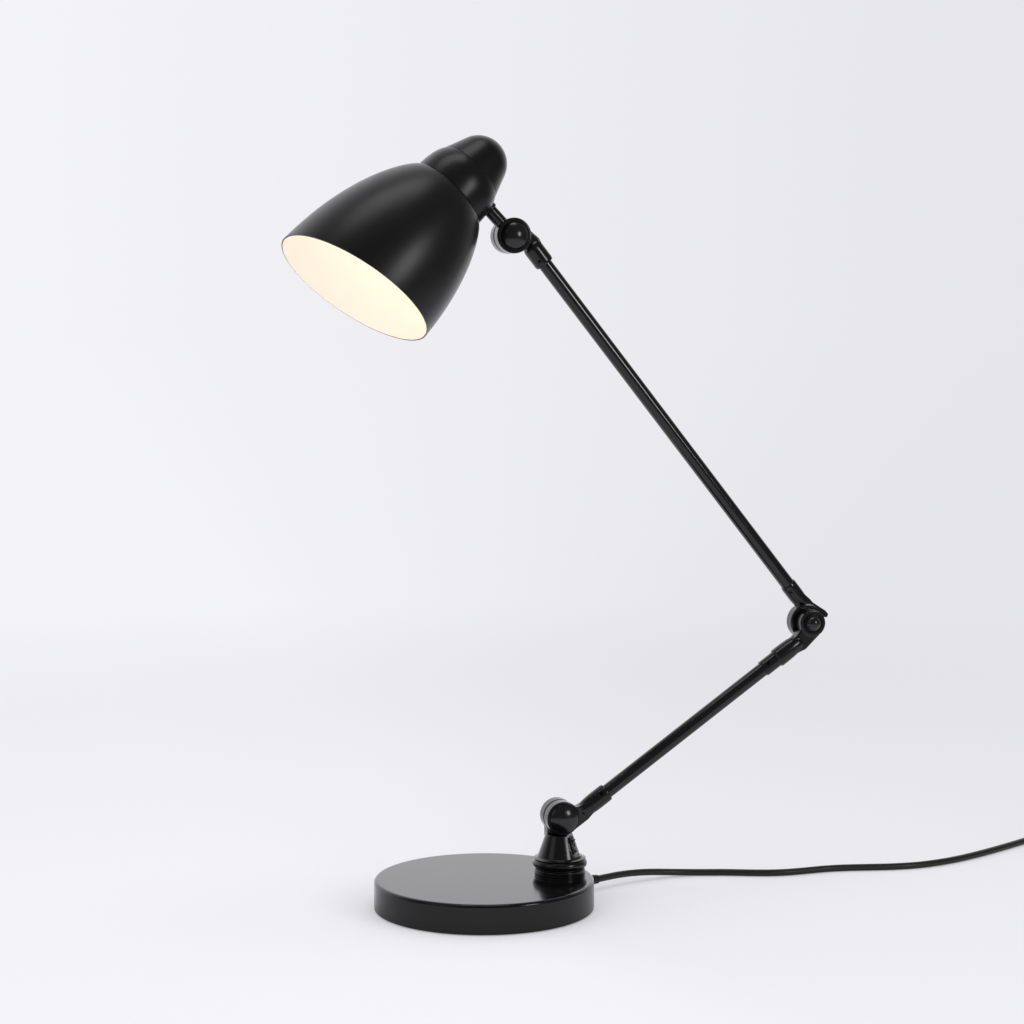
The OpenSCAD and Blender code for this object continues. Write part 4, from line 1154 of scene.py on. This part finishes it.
@dataclass
class Knuckle:
    """One cast arm end: an eye, a barrel that holds the tube, and the web between them."""

    name: str
    node: str                   # the CAD node that it replaces
    eye_r: float
    offset: float               # from the tube's axis to the eye's
    barrel_r: float
    start: float                # where the barrel starts, from the pivot
    step: float                 # where it steps down to its sleeve
    sleeve_r: float
    mouth: float                # where the sleeve ends
    screws: str                 # the CAD node of the arm's grub screws
    lug: Sequence[Point] = ()   # outline of an ear that stands out below the eye
    crest: float = 0.3          # how high the web meets the eye, as a share of its radius
    nose: float = 6.0           # length over which the barrel swells

    def parts(self) -> list[Piece]:
        """Model the overlapping parts that the casting is fused from.

        Returns:
            The eye, the barrel, the web, and the lug if there is one.
        """
        half = BONES.eye_t / 2
        eye = Bench.eye(self.eye_r, 1.1, shift(0, 0, self.offset))
        x0, r, sleeve, mouth = self.start, self.barrel_r, self.sleeve_r, self.mouth
        # The barrel swells out of the web's thickness, and the web sinks into its round sides
        flat = half - 0.6
        bows = [math.radians(a) for a in range(0, 91, 15)]
        swell = [(flat + (r - flat) * math.sin(a), x0 + self.nose * (1 - math.cos(a))) for a in bows]
        profile = [(0, x0)] + swell + [(r, self.step - 1), (sleeve, self.step), (sleeve, mouth - 0.3),
                                       (sleeve - 0.3, mouth), (0, mouth)]
        barrel = Bench.settle(Bench.turned(profile), ALONG_X)
        low, high = self.offset - self.eye_r * 0.985, self.offset + self.eye_r * self.crest
        reach, sunk = x0 + 13, 0.7 * r
        web = [(-self.eye_r * 0.17, low), (x0 + 1, 0.1 - r), (reach, -sunk), (reach, sunk), (x0 + 1, r * 0.8),
               (self.eye_r * (1 - self.crest), high), (0, self.offset)]
        made = [eye, barrel, Bench.round_edges(Bench.plate(web, 0.4 - half, half - 0.4), 1.2)]
        if self.lug:
            made.append(Bench.round_edges(Bench.plate(self.lug, 0.7 - half, half - 0.7), 0.8))
        return made

    def build(self, body: str, side: int, *place: Matrix) -> None:
        """Cast the knuckle, sink its screw hole and deliver it with its grub screw.

        Args:
            body: the CAD body that it rides on.
            side: 1 where the frame's -Y faces the viewer, -1 where its +Y does.
            place: the frames that put its near end in place, outermost first.
        """
        casting = Bench.fuse(self.parts(), grain=0.45, rounds=9)
        seat = [shift(self.mouth - 6, 0, 0), turn("Z", 0 if side > 0 else 180), turn("X", -30), FORWARD]
        hole = Bench.rod(1.56, 4, self.sleeve_r + 4)
        Bench.cut(casting, Bench.settle(hole, *seat))
        Bench.deliver(casting, f"{self.name}_casting", body, Slot.casting_lacquer, [self.node], *place,
                      over=50)
        top = self.sleeve_r - 0.25
        profile = [(0, 6.4), (1.5, 6.4), (1.5, top - 0.2), (1.3, top), (0.8, top), (0.8, top - 1.0),
                   (0, top - 1.2)]
        screw = Bench.settle(Bench.turned(profile, 24), *seat)
        Bench.deliver(screw, f"{self.name}_grub_screw", body, Slot.black_steel, [self.screws], *place,
                      over=30)


@dataclass
class Arm:
    """A drawn tube between two knuckles, with its wires inside."""

    name: str
    body: str
    place: Matrix
    length: float
    near: Knuckle
    far: Knuckle
    tube_r: float = 6.5
    wall: float = 1.2
    depth: float = 22.0         # how far the tube reaches into each knuckle

    def tube(self) -> None:
        """Draw the tube, with its cut ends rounded off."""
        x0 = self.near.mouth - self.depth
        x1 = self.length - self.far.mouth + self.depth
        r, bore = self.tube_r, self.tube_r - self.wall
        profile = [(bore, x0), (r - 0.3, x0), (r, x0 + 0.3), (r, self.near.mouth), (r, self.length / 2),
                   (r, self.length - self.far.mouth), (r, x1 - 0.3), (r - 0.3, x1), (bore, x1)]
        tube = Bench.turned(profile, ring=True)
        Bench.deliver(tube, f"{self.name}_drawn_tube", self.body, Slot.tube_lacquer, [f"{self.name}_tube"],
                      self.place, ALONG_X)

    def build(self) -> None:
        """Build both ends and the tube, and dress the wires."""
        self.near.build(self.body, 1, self.place)
        self.far.build(self.body, -1, self.place, shift(self.length, 0, 0), turn("Z", 180))
        self.tube()
        Bench.dress(Slot.wire_sleeve, f"{self.name}_lead")


# Head

@dataclass
class Head:
    """The head: stub, two-part housing, lampholder, bulb and spun shade."""

    shoulder_r: float = 37.4
    mouth_r: float = 73.6
    shade_len: float = 135.0    # before its mouth is cut
    mouth_at: float = 119.3     # where the cut crosses the axis
    mouth_slant: float = 9.4    # and how it leans, in degrees, two ways
    mouth_turn: float = 6.6
    shade_wall: float = 1.2
    skirt_top: float = 29.7
    skirt_top_r: float = 30.7
    bridge: tuple[float, float] = (27.0, 28.6)  # the wall across the skirt
    bore: float = 5.02          # round the nipple
    boss_r: float = 7.4
    boss_bore: float = 5.06     # round the stub
    dome_at: float = 40.4       # middle of the cap's dome
    dome_r: float = 25.37
    housing_wall: float = 1.5
    holder_r: float = 22.5
    holder_skirt_r: float = 19.9
    clamp_at: float = -8.2      # the clamp ring's lower face
    notches: int = 12
    notch_r: float = 1.3
    bulb_r: float = 27.5
    bulb_at: float = -47.5      # middle of the bulb's round part
    bulb_neck_r: float = 12.9
    stub_r: float = 6.0

    def shade_radius(self, along: float) -> float:
        """Return the shade's outer radius at a distance from its shoulder."""
        run = (1 - (1 - along / self.shade_len) ** 2.2) ** 0.8
        return self.shoulder_r + (self.mouth_r - self.shoulder_r) * run

    def shade(self) -> None:
        """Spin the shade's skin, trim its slanted mouth and give it its wall, cream inside."""
        steps, r = 44, self.shoulder_r
        along = [self.shade_len * (i / steps) ** 1.5 for i in range(1, steps + 1)]
        profile = [(self.holder_skirt_r + 0.2, 0), (30, 0), (r - 0.5, 0), (r - 0.1, -0.15)]
        profile += [(self.shade_radius(x), -x) for x in along if x > 0.4]
        skin = Bench.turned(profile, 224)
        Bench.edit(skin)
        square = turn("X", -self.mouth_turn) @ turn("Y", -self.mouth_slant) @ Vector((0, 0, 1))
        bpy.ops.mesh.bisect(plane_co=(0, 0, -self.mouth_at), plane_no=square, clear_inner=True)
        Bench.close()
        self.face_out(skin)
        skin.data.materials.append(Slot.shade_lacquer.value.material())
        skin.data.materials.append(INNER_ENAMEL.material())
        Bench.modify(skin, "SOLIDIFY", thickness=self.shade_wall, offset=-1.0, use_even_offset=True,
                     material_offset=1, material_offset_rim=0)
        Bench.deliver(skin, "spun_shade", "head", Slot.shade_lacquer, ["shade"], BONES.head(), over=50)

    @staticmethod
    def face_out(skin: Piece) -> None:
        """Flip an open skin if its faces point at its own axis.

        Args:
            skin: the skin, turned round Z.
        """
        outward = sum(f.normal.x * f.center.x + f.normal.y * f.center.y for f in skin.data.polygons)
        if outward < 0:
            Bench.edit(skin)
            bpy.ops.mesh.flip_normals()
            bpy.ops.object.mode_set(mode="OBJECT")

    def skirt(self) -> None:
        """Cast the housing's skirt with its inner bridge and the boss that the stub turns in."""
        r, w, top, top_r = self.shoulder_r - 0.4, self.housing_wall, self.skirt_top, self.skirt_top_r
        swell = [(r - 0.1, 5), (r - 0.6, 12), (r - 1.4, 17), (r - 2.4, 21), (r - 4.2, 25.5)]
        outer = [(r - 0.25, 0), (r, 0.3)] + swell + [(top_r + 0.25, top - 0.6), (top_r - 0.15, top)]
        inner = [(top_r - w, top)] + [(x - w, z) for x, z in reversed(swell)] + [(r - w, 0)]
        shell = Bench.turned(outer + inner, 160, ring=True)
        low, high = self.bridge
        bridge = Bench.turned([(self.bore, low), (30.6, low), (30.2, high), (self.bore, high)], ring=True)
        seat, boss_r, bore = r - 0.6, self.boss_r, self.boss_bore
        tower = [(bore, low), (boss_r, low), (boss_r, seat - 0.5), (boss_r - 0.5, seat), (bore, seat)]
        boss = Bench.turned(tower, 64, ring=True)
        Bench.join([shell, bridge, Bench.settle(boss, shift(0, 0, BONES.stub_up), ALONG_X)])
        Bench.deliver(shell, "housing_skirt_shell", "head", Slot.housing_lacquer, ["housing_skirt"],
                      BONES.head(), over=35)

    def cap(self) -> None:
        """Spin the housing's domed cap, with a fine seam where it meets the skirt."""
        w, top, r = self.housing_wall, self.skirt_top, self.skirt_top_r
        lip, down = r - w - 0.06, top - self.dome_at
        start = math.degrees(math.atan2(down, r) + math.acos(self.dome_r / math.hypot(r, down)))
        outer = arc((0, self.dome_at), self.dome_r, start, 90, 28)
        inner = arc((0, self.dome_at), self.dome_r - w, 90, start, 20)
        profile = [(lip - 1, top - 0.8), (lip, top - 0.8), (lip, top + 0.05), (r - 0.25, top + 0.05),
                   (r - 0.05, top + 0.3)] + outer + inner + [(lip - 1, top + 1)]
        Bench.deliver(Bench.turned(profile, 160, ring=True), "housing_cap_shell", "head",
                      Slot.housing_lacquer, ["housing_cap"], BONES.head(), over=35)

    def stub(self) -> None:
        """Cast the stub: its eye, the round bar and the journal that turns in the boss."""
        eye = Bench.eye(BONES.head_eye_r, 1.1)
        r = self.stub_r
        bar = [(0, -43.8), (4.6, -43.8), (5, -43.4), (5, -30.35), (r, -30.35), (r, 0), (0, 0)]
        casting = Bench.fuse([eye, Bench.settle(Bench.turned(bar), ALONG_X)], grain=0.45, rounds=5)
        Bench.deliver(casting, "stub_casting", "head_stub", Slot.casting_lacquer, ["head_stub"], BONES.stub(),
                      over=50)
        Bench.dress(Slot.zinc_steel, "stub_clip")

    def holder(self) -> None:
        """Mould the lampholder with its outer thread, and the ring that clamps the shade."""
        r, wide, bore = self.holder_skirt_r, self.holder_r, self.bore
        thread = ridges(4, -17.4, 2.2, [(r - 0.7, 0), (r - 0.1, 0.7), (r - 0.1, 1.3), (r - 0.7, 2.0)])
        profile = [(14, -18), (r - 0.9, -18)] + thread
        profile += [(r, -8.2), (r, 0), (wide - 0.4, 0), (wide, 0.4), (wide, 19), (wide - 3, 22.5), (11, 27),
                    (bore, 27), (bore, 14), (12, 14), (12, 10), (14, 10)]
        Bench.deliver(Bench.turned(profile, ring=True), "holder_body", "head", Slot.holder_plastic,
                      ["lampholder"], BONES.head(), over=28)
        grip, low, fit = r + 4.5, self.clamp_at, r + 0.02
        piece = Bench.turned([(fit, low), (grip - 0.6, low), (grip, -7.6), (grip, -1.9), (grip - 0.4, -1.2),
                              (fit, -1.2)], ring=True)
        for i in range(self.notches):
            notch = Bench.rod(self.notch_r, -9, 0, 24)
            Bench.cut(piece, Bench.settle(notch, turn("Z", 360 / self.notches * i), shift(grip + 0.5, 0, 0)))
        Bench.deliver(piece, "holder_clamp_ring", "head", Slot.holder_plastic, ["shade_ring"], BONES.head(),
                      over=28)

    def bulb(self) -> None:
        """Blow the frosted bulb and roll its threaded plated cap."""
        neck = self.bulb_neck_r
        glass = [(0, -11), (neck - 0.4, -11), (neck, -11.6), (neck, -19)]
        glass += arc((0, self.bulb_at), self.bulb_r, 62, -90, 40)
        Bench.deliver(Bench.turned(glass), "frosted_bulb", "head", Slot.frosted_glass, ["bulb_glass"],
                      BONES.head(), over=60)
        thread = ridges(5, -15, 3.6, [(12.95, 0), (13.25, 0.9), (13.25, 1.7), (12.95, 2.6)])
        cap = [(12.91, -18), (13.6, -18), (13.7, -17.4), (13.3, -16)] + thread
        cap += [(13.1, 3.6), (8, 7.7), (4.5, 9.7), (0, 9.7), (0, 7.7), (7, 5.7), (12.91, 1.7)]
        Bench.deliver(Bench.turned(cap), "bulb_screw_cap", "head", Slot.zinc_steel, ["bulb_cap"],
                      BONES.head(), over=40)

    def build(self) -> None:
        """Build the head from the stub to the shade."""
        self.stub()
        self.skirt()
        self.cap()
        self.holder()
        self.bulb()
        self.shade()
        Bench.dress(Slot.brass, "holder_contact")
        Bench.dress(Slot.zinc_steel, "holder_nipple", "nipple_nut")


# Studio

def stand(data: bpy.types.ID, place: Spot, target: Spot) -> Piece:
    """Stand a lamp or a camera in the studio.

    Args:
        data: the light or the camera, which also names the object.
        place: where it stands, in metres.
        target: the point that it looks at.

    Returns:
        The new object.
    """
    made = bpy.data.objects.new(data.name, data)
    bpy.context.scene.collection.objects.link(made)
    aim = Vector(target) - Vector(place)
    made.matrix_world = Matrix.Translation(place) @ aim.to_track_quat("-Z", "Y").to_matrix().to_4x4()
    return made


@dataclass(frozen=True)
class Lamp:
    """One soft studio lamp, aimed at a point, in metres."""

    name: str
    place: Spot
    target: Spot
    width: float
    height: float
    watts: float

    def build(self) -> None:
        """Hang the lamp."""
        light = bpy.data.lights.new(self.name, "AREA")
        light.shape = "RECTANGLE"
        light.size, light.size_y = self.width, self.height
        light.energy = self.watts
        stand(light, self.place, self.target).visible_camera = False


@dataclass
class Studio:
    """A plain pale sweep, soft lamps and the photograph's camera."""

    backdrop: str = "#F4F4F8"
    right_share: float = 0.875  # how bright the backdrop still is at the photograph's right
    left_x: float = 0.06        # the direction's X at the photograph's left edge
    right_x: float = 0.48       # and at its right edge
    floor_tone: float = 0.95
    floor_right_shade: float = 0.93   # painted shade: the floor's colour to the right of the lamp, as a share of its tone
    floor_tint: Spot = (1.0, 1.0, 1.015)
    floor_shade_side: Point = (-0.2, 0.7)     # between these X the floor's painted shade deepens, in metres
    floor_rough: float = 0.9
    unlit: float = 0.3          # share of the floor near the lamp that keeps its tone under a shadow
    near_m: float = 0.9         # from here on the floor fades
    far_m: float = 2.4          # until it has the backdrop's tone
    floor_m: float = 40.0
    surround: float = 0.86      # light of the room on matt surfaces
    front: float = 0.13         # what gloss sees behind the camera
    behind: float = 1.35        # and behind the lamp
    behind_y: float = 0.95      # the direction's Y from which that is seen in full
    eye: Spot = (-0.5504, -2.0116, 0.5358)
    target: Spot = (0.0244, -0.0070, 0.3611)
    lens: float = 82.0
    sensor: float = 36.0
    clip_m: float = 100.0
    lamps: list[Lamp] = field(default_factory=lambda: [
        Lamp("top_softbox", (-0.1, -0.1, 2.2), (-0.1, -0.12, 0.3), 1.2, 0.7, 5.6),
        Lamp("left_softbox", (-2.0, -0.9, 1.5), (0.0, 0.0, 0.3), 1.2, 1.6, 2.5),
        Lamp("right_softbox", (1.2, -1.7, 0.96), (0.0, 0.0, 0.55), 0.5, 0.65, 7.5),
    ])

    def paler(self, tree: Tree, across: Socket) -> Socket:
        """Return the backdrop's strength at the X of a direction: it falls off from left to right."""
        return span(tree, across, self.left_x, self.right_x, 1.0, self.right_share)

    def mirrored(self, tree: Tree, away: Socket) -> Socket:
        """Return what gloss sees at the Y of a direction: dark behind the camera, bright behind the lamp."""
        return span(tree, away, 0.0, self.behind_y, self.front, self.behind, "SMOOTHSTEP")

    def world(self) -> None:
        """Light the room evenly, with the backdrop in view and its own brightness in gloss."""
        world = bpy.data.worlds.new("studio_room")
        bpy.context.scene.world = world
        world.use_nodes = True
        tree = world.node_tree
        room = tree.nodes["Background"]
        room.inputs["Color"].default_value = linear(self.backdrop)
        room.inputs["Strength"].default_value = self.surround
        seen = add_node(tree, "ShaderNodeBackground", {"Color": linear(self.backdrop)})
        mirrored = add_node(tree, "ShaderNodeBackground", {"Color": linear(self.backdrop)})
        towards = add_node(tree, "ShaderNodeSeparateXYZ", None,
                           {0: add_node(tree, "ShaderNodeTexCoord").outputs["Generated"]})
        tree.links.new(self.paler(tree, towards.outputs["X"]), seen.inputs["Strength"])
        tree.links.new(self.mirrored(tree, towards.outputs["Y"]), mirrored.inputs["Strength"])
        ray = add_node(tree, "ShaderNodeLightPath")
        gloss = mix_shaders(tree, ray.outputs["Is Glossy Ray"], room, mirrored)
        straight = add_node(tree, "ShaderNodeMath", None,
                            {0: ray.outputs["Is Camera Ray"], 1: ray.outputs["Is Transmission Ray"]},
                            operation="MAXIMUM")
        mixed = mix_shaders(tree, straight.outputs[0], gloss, seen)
        tree.links.new(mixed.outputs[0], tree.nodes["World Output"].inputs["Surface"])

    def floor(self) -> None:
        """Lay the floor, its colour darkened towards the right as painted shade, fading into the backdrop's
        tone away from the lamp.
        """
        Bench.clear()
        bpy.ops.mesh.primitive_circle_add(vertices=96, radius=self.floor_m, fill_type="NGON")
        floor = bpy.context.object
        floor.name = "studio_floor"
        paper = bpy.data.materials.new("matt_paper_sweep")
        paper.use_nodes = True
        tree = paper.node_tree
        shader = tree.nodes["Principled BSDF"]
        shader.inputs["Roughness"].default_value = self.floor_rough
        shader.inputs["Specular IOR Level"].default_value = 0.0
        place = add_node(tree, "ShaderNodeTexCoord").outputs["Object"]
        heading = add_node(tree, "ShaderNodeVectorMath", None, {0: place}, operation="NORMALIZE")
        across = add_node(tree, "ShaderNodeSeparateXYZ", None, {0: heading.outputs["Vector"]})
        glossy = add_node(tree, "ShaderNodeLightPath").outputs["Is Glossy Ray"]
        strength = add_node(tree, "ShaderNodeMix", None, {MIX_SHARE: glossy,
                                                          VALUE_A: self.paler(tree, across.outputs["X"]),
                                                          VALUE_B: self.mirrored(tree, across.outputs["Y"])})
        far = add_node(tree, "ShaderNodeEmission", {"Color": linear(self.backdrop)},
                       {"Strength": strength.outputs[VALUE_RESULT]})
        side = add_node(tree, "ShaderNodeSeparateXYZ", None, {0: place}).outputs["X"]
        pale = toned(self.floor_tint, self.floor_tone)
        # Painted shade: the floor's colour darkens from left to right
        tone = mix_colours(tree, span(tree, side, *self.floor_shade_side), pale, toned(pale, self.floor_right_shade))
        tree.links.new(tone, shader.inputs["Base Color"])
        away = add_node(tree, "ShaderNodeVectorMath", None, {0: place}, operation="LENGTH").outputs["Value"]
        share = span(tree, away, self.near_m, self.far_m, self.unlit, kind="SMOOTHSTEP")
        mixed = mix_shaders(tree, share, shader, far)
        tree.links.new(mixed.outputs[0], tree.nodes["Material Output"].inputs["Surface"])
        floor.data.materials.append(paper)

    def camera(self) -> None:
        """Stand the camera where the photograph was taken from."""
        made = bpy.data.cameras.new("studio_camera")
        made.lens = self.lens
        made.sensor_width = self.sensor
        made.clip_end = self.clip_m
        bpy.context.scene.camera = stand(made, self.eye, self.target)

    def build(self) -> None:
        """Set the view and build the studio."""
        bpy.context.scene.view_settings.view_transform = "Standard"
        self.world()
        self.floor()
        for lamp in self.lamps:
            lamp.build()
        self.camera()


# Assembly

def arms() -> list[Arm]:
    """List the two arms with their knuckles.

    Returns:
        The lower and the upper arm.
    """
    gap = 1.4       # between an eye and the barrel of the arm across
    elbow_eye, elbow_back = 12.6, 16.8
    base_eye, head_eye = BONES.base_eye_r, BONES.head_eye_r
    lug = ((11, -7.6), (2, -10.6), (-3.6, -12.6), (-8.5, -12.8), (-10.1, -9.7), (-6, -6), (-2, 0), (12, 2))
    lower = Arm("lower", "lower_arm", BONES.lower(), BONES.lower_len,
                Knuckle("lower_foot", "lower_base_knuckle", base_eye, BONES.lower_off, 8.5, base_eye + gap,
                        46.5, 8.2, 47.5, "lower_screws", nose=18.0),
                Knuckle("lower_elbow", "lower_elbow_knuckle", elbow_eye, BONES.lower_off, 9.0,
                        elbow_back + gap, 47.0, 7.65, 63.0, "lower_screws", nose=20.0))
    upper = Arm("upper", "upper_arm", BONES.upper(), BONES.upper_len,
                Knuckle("upper_elbow", "upper_elbow_knuckle", elbow_back, BONES.elbow_off, 7.6,
                        elbow_eye + gap, 38.5, 7.3, 39.5, "upper_screws", lug, nose=14.0),
                Knuckle("upper_head", "upper_head_knuckle", head_eye, BONES.head_off, 9.1, head_eye + gap,
                        39.0, 8.8, 40.0, "upper_screws"))
    return [lower, upper]


def joints() -> list[PivotJoint]:
    """Return the lowest joint, the elbow and the head's joint."""
    return [
        PivotJoint("base_pivot", BONES.base_pivot(), "post", "base_knob", 13.2, 6.0, 14.4),
        PivotJoint("elbow", BONES.elbow_pivot(), "upper_arm", "elbow_knob", 6.7, 5.0, 9.4),
        PivotJoint("head_pivot", BONES.head_pivot(), "upper_arm", "head_knob", 11.2, 5.5, 12.5),
    ]


def main() -> None:
    """Build the studio and the lamp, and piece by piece."""
    logging.basicConfig(level=logging.INFO, format="%(name)s: %(message)s")
    Bench.clear()
    Studio().build()
    MainsCord().build()
    Base().build()
    Post().build()
    Switch().build()
    for joint in joints():
        joint.build()
    for arm in arms():
        arm.build()
    Head().build()
    Bench.clear()


if __name__ == "__main__":
    main()
